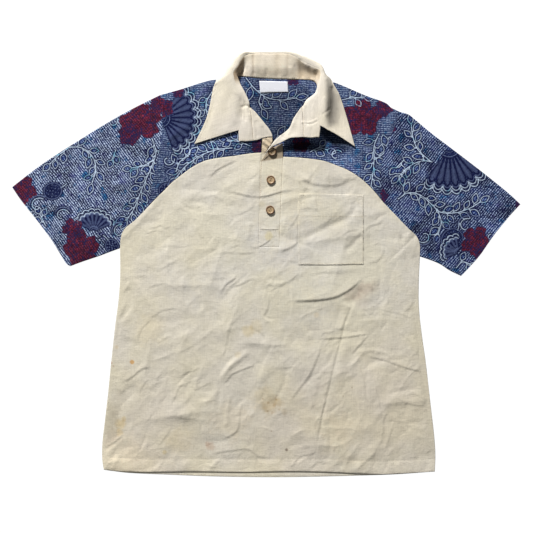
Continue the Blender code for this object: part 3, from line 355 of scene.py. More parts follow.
# Cloth stands up on one side of the line and drops over it. Columns: height mm, half width of the drop mm, reach of the
# soft side mm, turn (1 the side to the upper left stands up, -1 the other), path (x, y).
DROPS = [
    (0.9, 2.0, 12, 1, [(205, 176.5), (211, 175.6), (217, 170.4), (223, 167), (230, 163.6), (239, 159)]),
    (0.45, 1.6, 7, 1, [(249, 180), (254, 176), (260, 172)]),
    (1.15, 2.6, 13, 1, [(222, 195.5), (232, 192.4), (241, 194.4), (251, 196.6), (262, 196.8), (272, 194.8), (281, 192), (290, 190.6), (299, 189)]),
    (0.45, 1.8, 8, 1, [(203, 200), (208, 196.4), (215, 196.4), (220, 199), (226, 203)]),
    (0.55, 1.8, 8, 1, [(238, 215), (246, 211.6), (252, 208), (255, 203.6)]),
    (0.4, 1.6, 6, 1, [(192, 229), (193.4, 222), (197, 217)]),
    (0.65, 1.7, 9, 1, [(147, 229), (155, 227.8), (161, 225.8), (165, 228.4), (171, 225.4)]),
    (0.5, 1.6, 7, 1, [(143, 234), (150, 232.6), (158, 229.6)]),
    (0.35, 1.5, 6, 1, [(231, 248.4), (236, 246), (241, 244.4)]),
    (0.75, 0.9, 4, 1, [(258.6, 228.8), (266, 229.6), (273, 229.8), (280, 229.2)]),
    (0.5, 2.0, 9, 1, [(212, 254.6), (224, 252.6), (240, 253.4), (252, 253), (259, 250)]),
    (0.7, 1.6, 9, 1, [(250, 247.6), (257, 247.6), (262, 245.4), (267, 242.4), (272, 238)]),
    (0.6, 1.8, 9, 1, [(148, 288.6), (154, 285.8), (160, 284.4), (169, 283.6)]),
    (1.2, 1.9, 10, 1, [(220, 294), (223.4, 288.6), (227, 283.8), (232, 280.6), (238, 276)]),
    (1.0, 1.9, 10, 1, [(232, 287.4), (238, 285.4), (244, 283), (250, 279.8), (257, 278)]),
    (0.5, 2.2, 10, 1, [(158, 272), (165, 266.8), (171, 263.4), (177, 261.6)]),
    (0.45, 3.2, 14, 1, [(118, 280.4), (134, 277.4), (151, 276)]),
    (0.4, 2.2, 9, 1, [(209, 279.4), (217, 279), (228, 278)]),
    (1.0, 4.2, 14, 1, [(264, 280), (270, 284.6), (279, 284.6), (289, 281.6), (296, 276), (301, 270)]),
    (0.5, 1.8, 8, 1, [(270, 291), (277, 287.4), (286, 283)]),
    (1.3, 3.8, 18, 1, [(297, 172), (303, 178.6), (312, 183.6), (325, 185.6), (338, 185), (346, 180.6), (351, 174)]),
    (0.8, 1.6, 7, -1, [(296, 172), (297.6, 180), (302, 186), (304, 194)]),
    (1.3, 1.4, 8, 1, [(314.4, 196), (316, 203), (318.4, 211)]),
    (0.75, 1.1, 4, 1, [(301.6, 209.2), (306.6, 208), (312.6, 209.2)]),
    (0.55, 2.0, 9, 1, [(334, 242.4), (340, 237), (347, 232.6), (354, 229.8), (363, 229)]),
    (0.75, 1.9, 8, 1, [(290.4, 227), (294.6, 221.6), (298, 215), (299, 209)]),
    (1.0, 1.5, 7, 1, [(296.4, 218), (297.4, 228), (297.2, 239), (296.4, 247)]),
    (0.85, 2.4, 10, 1, [(281, 253), (287.6, 248.6), (295, 245), (299, 240)]),
    (0.45, 2.0, 8, 1, [(279, 262.4), (288, 260.8), (298, 262.4)]),
    (0.65, 2.0, 9, 1, [(364.4, 233), (367.6, 227.6), (373.6, 225), (380.4, 222.6), (381.8, 215)]),
    (0.8, 2.8, 12, 1, [(366, 263), (376, 261.4), (381, 257), (383.4, 250), (382, 243)]),
    (1.9, 2.8, 20, 1, [(288, 301.4), (300, 301), (314, 300.4), (327, 299), (337, 296.6), (346, 292), (354, 286.4), (359, 281.4), (363, 275)]),
    (0.45, 1.8, 7, 1, [(372, 283), (371.4, 292), (372.6, 302)]),
    (0.4, 1.8, 7, -1, [(381, 278), (380.4, 288), (382, 297)]),
    (0.35, 1.8, 7, 1, [(325, 281), (329, 274), (332, 265.6)]),
    (0.55, 1.9, 9, 1, [(148, 321), (155, 315), (163, 310.4), (179, 308.6)]),
    (0.6, 1.8, 8, 1, [(137.4, 346), (138.6, 336), (143, 327), (153, 319)]),
    (0.45, 1.8, 7, 1, [(183, 319), (184.4, 328), (183.4, 336), (179, 341)]),
    (0.45, 1.7, 7, 1, [(156, 343.6), (163, 340), (169, 336)]),
    (0.45, 1.7, 8, 1, [(178, 353), (187, 349), (196, 344.4)]),
    (1.1, 2.1, 12, 1, [(121, 381.4), (128, 379.6), (134, 375.6), (142, 369), (152, 367)]),
    (0.6, 1.8, 8, 1, [(139, 394), (143, 386), (149, 377)]),
    (1.0, 2.0, 11, 1, [(101, 449), (109, 445.6), (118, 439.4), (124, 434)]),
    (0.6, 1.9, 9, 1, [(171, 406), (175, 397), (179, 388), (186, 382)]),
    (0.5, 1.7, 8, 1, [(145, 424), (151, 416), (157, 407)]),
    (0.5, 1.8, 9, 1, [(178, 377.4), (189, 372), (202, 367.6)]),
    (0.5, 1.8, 8, 1, [(193, 391), (202, 386.6), (214, 381.4)]),
    (0.5, 1.7, 7, 1, [(231.4, 305), (233, 298), (237, 291.6)]),
    (0.6, 1.9, 9, 1, [(233.6, 318), (229, 331), (226, 345), (222.4, 361)]),
    (0.9, 1.9, 9, 1, [(267, 288), (268.8, 300), (267.4, 310), (263.6, 316.6), (268, 320), (277, 320.4)]),
    (1.0, 2.0, 10, 1, [(223, 386), (232, 374.6), (244, 369), (257, 364.4)]),
    (1.0, 2.0, 10, 1, [(244, 403), (240.4, 410), (239.4, 420), (237.6, 430), (230, 436), (220, 441)]),
    (0.75, 1.8, 9, 1, [(208, 457), (217, 453), (232, 450.6), (247, 449), (253, 452), (259, 456.4), (272, 457)]),
    (0.5, 1.7, 8, 1, [(172, 427), (166, 436), (159, 446)]),
    (0.4, 1.6, 6, 1, [(166.4, 439), (165.6, 447), (166.4, 456)]),
    (0.6, 1.8, 8, 1, [(266.4, 288), (265.6, 300), (267.4, 313)]),
    (0.5, 1.8, 7, -1, [(289.6, 282), (291.6, 298), (291, 316)]),
    (0.95, 1.4, 8, 1, [(318, 339.4), (331, 338.6), (345, 337.6), (356, 336), (371, 333.2)]),
    (0.4, 1.5, 5, 1, [(319, 333.6), (330, 332.4), (341, 331)]),
    (1.0, 1.9, 10, 1, [(351, 355), (356, 349), (361, 343.4), (369, 335)]),
    (1.0, 1.6, 9, 1, [(364, 355.8), (377, 358.6), (386, 360.6), (400, 366), (412, 369.6), (427, 373)]),
    (1.05, 1.6, 9, 1, [(355.6, 357), (359.4, 366), (363, 377), (366.4, 402)]),
    (0.85, 1.8, 8, -1, [(352.6, 384), (355.6, 393), (358, 403), (359.4, 424)]),
    (0.6, 1.7, 7, 1, [(364.6, 399), (367.6, 407), (371, 417)]),
    (0.8, 1.7, 8, 1, [(373.6, 378), (377, 392), (379.6, 406), (383, 421)]),
    (0.65, 1.9, 8, 1, [(391, 410), (386.6, 413.6), (383.6, 420), (383.4, 431), (380.6, 446)]),
    (1.0, 2.4, 11, 1, [(322.4, 341), (319, 353), (314.4, 365), (308.4, 377), (301, 386.6), (288, 404)]),
    (0.35, 2.0, 8, 1, [(269, 367.4), (284, 367.8), (302, 366.6)]),
    (0.65, 1.8, 8, 1, [(318, 448), (312.6, 453.6), (300.6, 456), (295, 462), (289, 469)]),
    (0.6, 1.8, 8, 1, [(414, 300), (410.6, 306), (404, 313)]),
    (0.45, 2.0, 9, 1, [(374, 307), (388, 311), (402, 314.6), (416, 320)]),
    (0.5, 2.0, 9, 1, [(394, 330), (404, 336), (412, 344), (417, 356)]),
    (0.5, 2.0, 9, 1, [(396, 396), (404, 402), (415, 405), (427, 406)]),
    (0.45, 1.8, 8, 1, [(330, 420), (336, 430), (339, 444), (338, 456)]),
    (0.4, 1.8, 8, 1, [(188, 402), (196, 412), (200, 426), (199, 440)]),
    (0.45, 2.0, 9, 1, [(250, 325), (262, 334), (270, 346), (272, 360)]),
    (0.4, 2.0, 8, 1, [(150, 250), (166, 246), (184, 247)]),
    (0.45, 2.0, 9, 1, [(196, 232), (206, 241), (212, 252)]),
    (0.4, 2.0, 9, 1, [(386, 268), (393, 276), (397, 288), (396, 300)]),
    (0.95, 1.3, 10, 1, [(359, 290), (352, 304), (344.6, 322), (340, 341), (334.6, 362), (330.4, 380), (326, 398), (321.6, 416), (318.4, 434), (315, 451)]),
    (0.95, 1.3, 8, 1, [(399.4, 231), (401.4, 241), (405.4, 252), (410.2, 263), (414.6, 272), (418.6, 280)]),
]
# Symmetric troughs and ridges. Columns: height mm (negative for a trough), half width mm, path (x, y).
ROLLS = [
    (-1.15, 6.5, [(298, 241), (308, 236.4), (318, 231.6), (329, 226), (340, 221.4), (348, 217.8), (353, 212), (355, 203), (357, 197)]),
    (0.42, 7.0, [(300, 252), (312, 246), (326, 239), (338, 231), (348, 226)]),
    (-0.8, 5.0, [(343, 252), (350, 247), (356, 240.6), (364, 234)]),
    (-0.5, 9.0, [(210, 204), (224, 205), (240, 207.4)]),
    (-0.4, 8.0, [(176, 239), (186, 228), (197, 218)]),
    (-0.5, 7.0, [(140, 224), (150, 222.4), (162, 223)]),
    (-0.35, 3.6, [(252.6, 224), (252, 233), (253, 243)]),
    (-1.2, 4.2, [(398.6, 230), (400.6, 240), (404.6, 252), (409.6, 264), (414, 272), (418.6, 281)]),
    (0.9, 8.0, [(405, 232), (411, 244), (416, 258)]),
    (-1.2, 4.8, [(128, 286), (129.6, 297), (129.6, 305), (125, 313), (119, 323)]),
    (-0.9, 3.0, [(120, 318), (117.6, 335), (117.4, 352), (116, 377)]),
    (-1.4, 9.0, [(136, 380), (129, 394), (119, 401), (113, 408), (110, 424), (107, 441)]),
    (1.0, 5.2, [(220, 383), (228, 368.4), (240, 358), (252, 349)]),
    (-0.7, 4.6, [(221, 382), (219, 397), (217.6, 416)]),
    (0.6, 4.6, [(227, 403), (227.4, 415), (225.6, 428)]),
    (-1.1, 4.6, [(416.2, 278), (415.6, 300), (417, 322), (420, 345), (424, 378), (428.6, 408), (431, 442)]),
    (-0.42, 2.8, [(361, 286), (352, 303), (345, 322), (340, 341), (334.6, 362), (330.6, 380), (327, 396), (322.6, 416), (319, 434), (315.6, 452)]),
    (0.08, 3.4, [(366, 286), (357, 304), (350, 322), (345, 342), (339.6, 362), (335.6, 380), (332, 396), (327.6, 416), (324, 434), (320.6, 450)]),
    (0.6, 4.2, [(353, 352.4), (370, 351), (391, 353)]),
    (0.6, 7.0, [(352, 330), (345, 350), (341, 372), (337, 394)]),
    (-0.9, 8.0, [(345, 306), (354, 298), (363, 288)]),
    (0.5, 10.0, [(150, 350), (172, 342), (196, 330)]),
    (-0.45, 9.0, [(196, 300), (210, 312), (222, 330)]),
    (0.45, 10.0, [(240, 330), (258, 344), (280, 350)]),
    (-0.5, 8.0, [(150, 396), (160, 384), (172, 372)]),
    (0.5, 9.0, [(180, 420), (192, 408), (206, 400)]),
    (-0.45, 8.0, [(260, 392), (272, 404), (282, 420)]),
    (0.5, 9.0, [(388, 384), (396, 400), (398, 424)]),
    (-0.4, 8.0, [(300, 330), (292, 344), (282, 352)]),
    (-0.5, 7.0, [(392, 320), (398, 338), (402, 356)]),
    (0.45, 9.0, [(170, 210), (186, 200), (206, 186)]),
    (-0.4, 9.0, [(236, 226), (226, 240), (212, 262)]),
    (-0.45, 5.0, [(434, 450), (428, 454.6), (420, 456)]),
    # the printed yokes and the sleeves
    (-0.8, 8.0, [(160, 150), (146, 158), (128, 160), (108, 170)]),
    (0.7, 8.0, [(158, 168), (140, 178), (118, 184), (96, 198)]),
    (-0.9, 7.0, [(138, 212), (124, 208), (108, 214), (92, 224)]),
    (0.6, 9.0, [(70, 160), (62, 182), (60, 206)]),
    (-0.5, 7.0, [(36, 186), (46, 206), (60, 228)]),
    (0.6, 8.0, [(184, 100), (176, 120), (172, 144)]),
    (-0.5, 8.0, [(200, 112), (196, 132), (186, 156)]),
    (-0.8, 8.0, [(386, 150), (400, 162), (420, 168), (440, 180)]),
    (0.7, 8.0, [(384, 172), (402, 184), (424, 190), (446, 204)]),
    (-0.9, 7.0, [(398, 214), (412, 216), (430, 224), (446, 238)]),
    (0.6, 9.0, [(470, 182), (474, 202), (472, 226)]),
    (-0.5, 7.0, [(500, 196), (492, 212), (480, 236)]),
    (0.6, 8.0, [(362, 106), (368, 126), (366, 150)]),
    (-0.5, 8.0, [(378, 118), (376, 138), (372, 160)]),
]
HEM_LINE = [(103, 456), (145, 458.6), (194, 458), (244, 458.8), (294, 458), (334, 459), (380, 460.6), (435, 458)]


def creases(points):
    z = np.zeros(len(points))
    for height, drop, soft, turn, rows in DROPS:
        line = curve(rows, 0.005)
        a, b = line[0], line[-1]
        left = 1 if np.array([a[1] - b[1], b[0] - a[0]]) @ UP_LEFT > 0 else -1
        near, s, t = along_line(points, line, (soft * 2.4 + drop) * MM)
        s = s * left * turn
        ends = ease(t / 0.22) * ease((1 - t) / 0.22)
        step = ease((s + 0.8 * drop * MM) / (1.6 * drop * MM))
        foot = np.exp(-((s + 1.5 * drop * MM) / (0.9 * drop * MM)) ** 2)
        z[near] += 0.78 * height * MM * ends * (step * np.exp(-np.maximum(s, 0) / (soft * 0.75 * MM)) - 0.16 * foot)
    for height, half, rows in ROLLS:
        near, s, t = along_line(points, curve(rows, 0.005), half * 2.4 * MM)
        z[near] += height * MM * ease(t / 0.2) * ease((1 - t) / 0.2) * np.exp(-(s / (half * MM)) ** 2)
    return z


def facets(points, seed=8, count=150):
    """Long straight breaks between large flat areas, as pressed and crumpled cotton has."""
    rng = np.random.default_rng(seed)
    z = np.zeros(len(points))
    for _ in range(count):
        cx, cy = rng.uniform(-0.32, 0.32), rng.uniform(-0.39, 0.32)
        kind, turn = rng.random(), rng.normal()
        angle = math.radians(54 + 17 * turn if kind < 0.42 else 3 + 12 * turn if kind < 0.72 else 98 + 12 * turn)
        length, wide, other = rng.uniform(0.022, 0.085), rng.uniform(0.006, 0.017), rng.uniform(0.35, 1.0)
        wide = min(wide, length / 3.0)
        height = wide * rng.uniform(0.035, 0.085) * (1 if rng.random() < 0.65 else -1)
        near = np.nonzero((np.abs(points[:, 0] - cx) < length + 0.03) & (np.abs(points[:, 1] - cy) < length + 0.03))[0]
        if not len(near):
            continue
        dx, dy = points[near, 0] - cx, points[near, 1] - cy
        t = (dx * math.cos(angle) + dy * math.sin(angle)) / length
        q = -dx * math.sin(angle) + dy * math.cos(angle)
        q = np.abs(q) / np.where(q > 0, wide, wide * other)
        z[near] += height * np.clip(1 - t * t, 0, 1) ** 1.2 * np.exp(-q ** 1.25)
    return z


def wash_folds(points, seed=5, count=900):
    """Many short sharp folds with flatter cloth between them: most run up to the right, some across and some down the cloth."""
    rng = np.random.default_rng(seed)
    z = np.zeros(len(points))
    for _ in range(count):
        cx, cy = rng.uniform(-0.31, 0.31), rng.uniform(-0.385, 0.30)
        kind, turn = rng.random(), rng.normal()
        angle = math.radians(57 + 15 * turn if kind < 0.52 else 6 + 13 * turn if kind < 0.80 else 96 + 12 * turn)
        length = 0.006 + 0.036 * rng.random() ** 1.8
        wide, other = 0.0017 + 0.0050 * rng.random() ** 1.5, rng.uniform(0.5, 2.0)
        wide = min(wide, length / 3.6)
        height = wide * rng.uniform(0.05, 0.16) * (1 if rng.random() < 0.6 else -1)
        bow = rng.normal() * 0.10 / length
        near = np.nonzero((np.abs(points[:, 0] - cx) < length + 0.01) & (np.abs(points[:, 1] - cy) < length + 0.01))[0]
        if not len(near):
            continue
        dx, dy = points[near, 0] - cx, points[near, 1] - cy
        t = (dx * math.cos(angle) + dy * math.sin(angle)) / length
        q = -dx * math.sin(angle) + dy * math.cos(angle) + bow * (t * length) ** 2
        end = np.clip(1 - t * t, 0, 1) ** 1.5
        z[near] += height * end * np.exp(-np.abs(q) / np.where(q > 0, wide, wide * other))
    return z


def crumple(points):
    """Wash creases: soft hills with sharper ridges on them, mostly running up to the right, stronger low on the body."""
    low = ease((points[:, 1] + 0.06) / -0.20)
    bend = np.stack([noise(points, 0.050, 3), noise(points, 0.050, 4)], 1) * 0.010
    p = points + bend
    c, s = math.cos(0.98), math.sin(0.98)
    q = np.stack([(p[:, 0] * c + p[:, 1] * s) * 0.45, -p[:, 0] * s + p[:, 1] * c], 1)
    soft = 0.55 * noise(p, 0.062, 11) + 0.24 * noise(p, 0.030, 12) + 0.12 * noise(p, 0.016, 13)
    sharp = 0.30 * (0.40 - np.abs(noise(q, 0.026, 21))) + 0.22 * (0.40 - np.abs(noise(p, 0.022, 22))) + 0.15 * (0.40 - np.abs(noise(q, 0.013, 23)))
    fine = 0.075 * noise(p, 0.0085, 24) + 0.045 * noise(q, 0.0062, 25)
    patch = 0.35 + 0.65 * ease(0.5 + 0.9 * noise(points, 0.085, 31))
    return MM * ((0.60 + 0.27 * low) * (0.86 * soft + 0.62 * sharp * patch) + 1.1 * fine) + (0.55 + 0.45 * patch) * (0.8 + 0.35 * low) * wash_folds(points) + facets(points)


def hem_puckers(points):
    """The turned hem: one more layer below the stitching, a groove at the stitching and small puckers along it."""
    near, s, t = along_line(points, curve(HEM_LINE, 0.01), 0.032)
    z = np.zeros(len(points))
    below = -s if curve(HEM_LINE, 0.01)[0, 0] < 0 else s
    x = points[near, 0]
    wave = noise(np.stack([x * 1.0, s * 0.25], 1), 0.0085, 41) + 0.6 * noise(np.stack([x, s * 0.3], 1), 0.019, 42)
    z[near] = MM * (0.16 * ease((below + 0.004) / 0.008) - 0.20 * np.exp(-(s / 0.0015) ** 2) + 0.34 * wave * np.exp(-(s / 0.014) ** 2))
    return z


def front_low(points):
    """Underside of the front layer: just clear of the back at folded edges, a little air in the middle, and the creases."""
    d = distance_to(points, FOLDED_EDGES)
    z = CLOTH + GAP + AIR * (1 - np.exp(-d / AIR_REACH)) + (COLLAR_LIFT + GAP) * lift(points)
    quiet = 1 - 0.85 * lift(points)
    x, y = points[:, 0] / U + MIDDLE[0], MIDDLE[1] - points[:, 1] / U
    quiet = quiet * (1 - 0.9 * ease((x - 234) / 8) * ease((330 - x) / 8) * ease((150 - y) / 8))
    z = z + (1.3 * creases(points) + 1.45 * crumple(points)) * (1 - np.exp(-d / 0.006)) * quiet + hem_puckers(points) * (1 - np.exp(-d / 0.003))
    return np.maximum(z, CLOTH + GAP)


def yoke_r_low(points):
    return front_low(points) + rise_along(points, NECK_FRONT_R, [0.2, 0.6, 1.8, 3.0, 3.0, 2.6, 2.0, 1.4, 1.0], 0.016)


def yoke_l_low(points):
    return front_low(points) + rise_along(points, NECK_FRONT_L, [0.2, 1.5, 5.0, 7.6, 9.0, 9.0, 8.2, 6.8, 3.4], 0.017)


def back_low(points):
    return COLLAR_LIFT * lift(points)




# ------------------------------------------------------------------ cloth meshes
def samples_of(loops, step=0.0004):
    """Points close together along closed outlines."""
    out = []
    for loop in loops:
        a, b = loop, np.roll(loop, -1, 0)
        for p, q in zip(a, b):
            n = max(1, int(np.linalg.norm(q - p) / step))
            out.append(p + (q - p) * (np.arange(n) / n)[:, None])
    return np.vstack(out)


def reach_to(points, samples, limit):
    """Distance in plan from each point to the nearest sample, read only as far as limit."""
    tree = KDTree(len(samples))
    for i, (x, y) in enumerate(samples):
        tree.insert((x, y, 0), i)
    tree.balance()
    low, high = samples.min(0) - limit, samples.max(0) + limit
    out = np.full(len(points), limit)
    for i in np.nonzero(((points > low) & (points < high)).all(1))[0]:
        out[i] = min(limit, tree.find((points[i, 0], points[i, 1], 0))[2])
    return out


def inset(loop, by):
    before, after = loop - np.roll(loop, 1, 0), np.roll(loop, -1, 0) - loop
    before /= np.maximum(np.linalg.norm(before, axis=1), 1e-9)[:, None]
    after /= np.maximum(np.linalg.norm(after, axis=1), 1e-9)[:, None]
    n1, n2 = np.stack([-before[:, 1], before[:, 0]], 1), np.stack([-after[:, 1], after[:, 0]], 1)
    mid = n1 + n2
    mid /= np.maximum(np.linalg.norm(mid, axis=1), 1e-6)[:, None]
    cos = np.clip(np.sum(mid * n1, axis=1), 0.45, 1)
    return loop + mid * (by / cos)[:, None]


def ccw(loop):
    area = 0.5 * np.sum(loop[:, 0] * np.roll(loop[:, 1], -1) - np.roll(loop[:, 0], -1) * loop[:, 1])
    return loop if area > 0 else loop[::-1]


def raster_inside(points, loop):
    """Which points are inside a closed outline, tested row by row."""
    order = np.argsort(points[:, 1], kind="stable")
    ys = points[order, 1]
    hit = np.zeros(len(points), bool)
    for a, b in zip(loop, np.roll(loop, -1, 0)):
        if a[1] == b[1]:
            continue
        lo, hi = (a[1], b[1]) if a[1] < b[1] else (b[1], a[1])
        i, j = np.searchsorted(ys, lo, "left"), np.searchsorted(ys, hi, "left")
        if i == j:
            continue
        sel = order[i:j]
        x = a[0] + (points[sel, 1] - a[1]) / (b[1] - a[1]) * (b[0] - a[0])
        hit[sel] ^= points[sel, 0] < x
    return hit


def fill(edge, step, marks=(), rings=(0.0002, 0.0006), extra=None, fine=None):
    """Triangles inside a closed outline. Rings follow the outline and the marks at those distances; fine is (test, step) for a finer part."""
    loops = [edge, *marks]
    low, high = edge.min(0), edge.max(0)

    def lattice(size):
        rows = np.arange(int((high[1] - low[1]) / (size * 0.866)) + 1)
        cols = np.arange(int((high[0] - low[0]) / size) + 2)
        gx = low[0] + cols[None, :] * size + (rows[:, None] % 2) * 0.5 * size
        gy = low[1] + rows[:, None] * size * 0.866 + 0 * gx
        return np.stack([gx.ravel(), gy.ravel()], 1)

    near = samples_of(loops)
    grid = lattice(step)
    if fine is not None:
        grid = np.vstack([grid[~fine[0](grid)], (lambda g: g[fine[0](g)])(lattice(fine[1]))])
    grid = grid[raster_inside(grid, edge)]
    clear = (rings[-1] if rings else 0) + 0.0004
    grid = grid[reach_to(grid, near, clear + 0.001) > clear]
    ringed = [grid]
    for by in rings:
        for k, loop in enumerate(loops):
            ring = inset(ccw(loop), by)
            ring = ring[raster_inside(ring, edge)]
            ringed.append(ring[reach_to(ring, near, by * 2) > by * 0.75])
    if extra is not None:
        extra = extra[raster_inside(extra, edge)]
        ringed.append(extra[reach_to(extra, near, 0.003) > clear])
    verts, edges = [], []
    for loop in loops:
        start = len(verts)
        verts += [tuple(p) for p in loop]
        edges += [(start + i, start + (i + 1) % len(loop)) for i in range(len(loop))]
    verts += [tuple(p) for p in np.vstack(ringed)]
    out = delaunay_2d_cdt(verts, edges, [], 1, 1e-7)
    points = np.array([tuple(v) for v in out[0]])
    tris = np.array([f for f in out[2] if len(f) == 3])
    tris = tris[raster_inside(points[tris].mean(1), edge)]
    a, b, c = points[tris[:, 0]], points[tris[:, 1]], points[tris[:, 2]]
    flip = (b[:, 0] - a[:, 0]) * (c[:, 1] - a[:, 1]) - (b[:, 1] - a[:, 1]) * (c[:, 0] - a[:, 0]) < 0
    tris[flip] = tris[flip][:, [0, 2, 1]]
    source = {}
    for k, orig in enumerate(out[3]):
        for o in orig:
            if o < len(edge):
                source[k] = o
    return points, tris, source


def make(name, verts, tris, mat, attributes=None, sharp=None):
    mesh = bpy.data.meshes.new(name)
    used = np.unique(tris)
    index = np.full(len(verts), -1)
    index[used] = np.arange(len(used))
    verts, tris = verts[used], index[tris]
    mesh.vertices.add(len(verts))
    mesh.vertices.foreach_set("co", verts.astype(np.float32).ravel())
    mesh.loops.add(tris.size)
    mesh.loops.foreach_set("vertex_index", tris.astype(np.int32).ravel())
    mesh.polygons.add(len(tris))
    mesh.polygons.foreach_set("loop_start", np.arange(len(tris), dtype=np.int32) * 3)
    mesh.update(calc_edges=True)
    mesh.validate()
    for key, (kind, values) in (attributes or {}).items():
        att = mesh.attributes.new(key, kind, "POINT")
        field = {"FLOAT_VECTOR": "vector", "FLOAT_COLOR": "color", "FLOAT": "value"}[kind]
        att.data.foreach_set(field, np.asarray(values)[used].astype(np.float32).ravel())
    mesh.shade_smooth()
    if sharp:
        mesh.set_sharp_from_angle(angle=math.radians(sharp))
    obj = bpy.data.objects.new(name, mesh)
    bpy.context.collection.objects.link(obj)
    mesh.materials.append(mat)
    return obj


def round_over(d, r=0.0006):
    return np.sqrt(np.clip(1 - (1 - np.minimum(d / r, 1)) ** 2, 0, 1))


def cloth_panel(name, edges, step, low, mat, thick=CLOTH, marks=(), edge_step=0.002, under_step=0.006, under=None, grain=0.0, extra=None,
                fine=None, paint=None, edge=None, lower_edge=0.0):
    """A closed wall of cloth with a rounded edge: a fine upper skin and a coarser lower one on the same outline."""
    edge = outline(edges, edge_step, GAP / 2) if edge is None else edge
    top, tris, source = fill(edge, step, marks, extra=extra, fine=fine)
    z = low(top)
    d = reach_to(top, samples_of([edge]), 0.0012)
    upper = z + thick * (0.5 + 0.5 * round_over(d, thick * 0.5))
    bottom, btris, bsource = fill(edge, under_step)
    under = under or low
    zb = under(bottom)
    db = reach_to(bottom, samples_of([edge]), 0.0012)
    lower = zb + thick * (0.5 - 0.5 * round_over(db, thick * 0.5))
    back_of = {o: k for k, o in source.items()}
    index = np.arange(len(bottom)) + len(top)
    for k, o in bsource.items():
        if o in back_of:
            index[k] = back_of[o]
    verts = np.vstack([np.column_stack([top, upper]), np.column_stack([bottom, lower])])
    faces = np.vstack([tris, index[btris][:, ::-1]])
    c, s = math.cos(grain), math.sin(grain)
    plan = verts[:, :2]
    cloth = np.column_stack([plan[:, 0] * c + plan[:, 1] * s, -plan[:, 0] * s + plan[:, 1] * c, np.zeros(len(plan))])
    attributes = {"cloth": ("FLOAT_VECTOR", cloth)}
    if paint:
        attributes.update(paint(plan))
    obj = make(name, verts, faces, mat, attributes)
    return obj, (top, tris, z)


def laid_on(name, mark, panel_skin, gap, thick, mat, paint=None, base=CLOTH):
    """A piece on a panel, made from the panel's own points inside the mark, moved out."""
    points, tris, z = panel_skin
    keep = tris[raster_inside(points[tris].mean(1), mark)]
    d = reach_to(points, samples_of([mark]), 0.0012)
    r = thick * 0.5
    upper = z + base + gap + thick * (0.5 + 0.5 * round_over(d, r))
    lower = z + base + gap + thick * (0.5 - 0.5 * round_over(d, r))
    on_edge = d < 1e-6
    n = len(points)
    index = np.where(on_edge, np.arange(n), np.arange(n) + n)
    verts = np.vstack([np.column_stack([points, upper]), np.column_stack([points, lower])])
    faces = np.vstack([keep, index[keep][:, ::-1]])
    plan = verts[:, :2]
    attributes = {"cloth": ("FLOAT_VECTOR", np.column_stack([plan, np.zeros(len(plan))]))}
    if paint:
        attributes.update(paint(plan))
    return make(name, verts, faces, mat, attributes)


def refine(grid, near=(0.13, 0.5)):
    """Adds rows close to all four sides of a grid, so that its edge can be rounded."""
    for axis in (0, 1):
        g = np.swapaxes(grid, 0, axis)
        first = [g[0] + (g[1] - g[0]) * f for f in near]
        last = [g[-1] + (g[-2] - g[-1]) * f for f in near[::-1]]
        g = np.concatenate([g[:1], np.array(first), g[1:-1], np.array(last), g[-1:]])
        grid = np.swapaxes(g, 0, axis)
    return grid


def swept_grid(rows, per_along, per_across, first, last):
    """Smooth sections of the rows, kept from place first to place last on them (in units of the rows' columns)."""
    cols = np.stack([smooth(rows[:, k], per=per_along) for k in range(rows.shape[1])], 1)
    fine = np.stack([smooth(r, per=per_across) for r in cols])
    return fine[:, max(round(first * per_across), 0):round(last * per_across) + 1]


def normals_of(grid):
    normal = np.cross(np.gradient(grid, axis=0), np.gradient(grid, axis=1))
    return normal / np.maximum(np.linalg.norm(normal, axis=2), 1e-12)[:, :, None]


def swept_sheet(name, grid, thick, mat, raise_by=None, paint=None):
    """A closed wall from a grid of its middle surface, with rounded edges. raise_by(plan points, arc lengths) moves it along its normal."""
    grid = refine(grid)
    su = np.concatenate([[0], np.cumsum(np.linalg.norm(np.diff(grid.mean(1), axis=0), axis=1))])
    steps_v = np.linalg.norm(np.diff(grid, axis=1), axis=2)
    sv = np.concatenate([np.zeros((len(grid), 1)), np.cumsum(steps_v, axis=1)], 1)
    steps_u = np.linalg.norm(np.diff(grid, axis=0), axis=2)
    uu = np.concatenate([np.zeros((1, grid.shape[1])), np.cumsum(steps_u, axis=0)], 0)
    normal = normals_of(grid)
    if raise_by is not None:
        grid = grid + normal * raise_by(grid, uu, sv)[:, :, None]
        normal = normals_of(grid)
    e = np.minimum(np.minimum(sv, sv[:, -1:] - sv), np.minimum(uu, uu[-1:] - uu))
    half = thick / 2 * round_over(e, thick / 2)
    upper, lower = grid + normal * half[:, :, None], grid - normal * half[:, :, None]
    verts = np.vstack([upper.reshape(-1, 3), lower.reshape(-1, 3)])
    verts[:, 2] = np.maximum(verts[:, 2], 0.0)
    r, c = grid.shape[:2]
    n = r * c
    ids = np.arange(n).reshape(r, c)
    low_ids = ids + n
    low_ids[0], low_ids[-1], low_ids[:, 0], low_ids[:, -1] = ids[0], ids[-1], ids[:, 0], ids[:, -1]

    def quads(k):
        a, b, cc, d = k[:-1, :-1].ravel(), k[1:, :-1].ravel(), k[1:, 1:].ravel(), k[:-1, 1:].ravel()
        return np.vstack([np.stack([a, b, cc], 1), np.stack([a, cc, d], 1)])

    faces = np.vstack([quads(ids), quads(low_ids)[:, ::-1]])
    cloth = np.stack([uu, sv, np.zeros_like(uu)], 2).reshape(-1, 3)
    cloth = np.vstack([cloth, cloth])
    attributes = {"cloth": ("FLOAT_VECTOR", cloth)}
    if paint:
        attributes.update(paint(verts[:, :2]))
    return make(name, verts, faces, mat, attributes), grid, normal, uu, sv


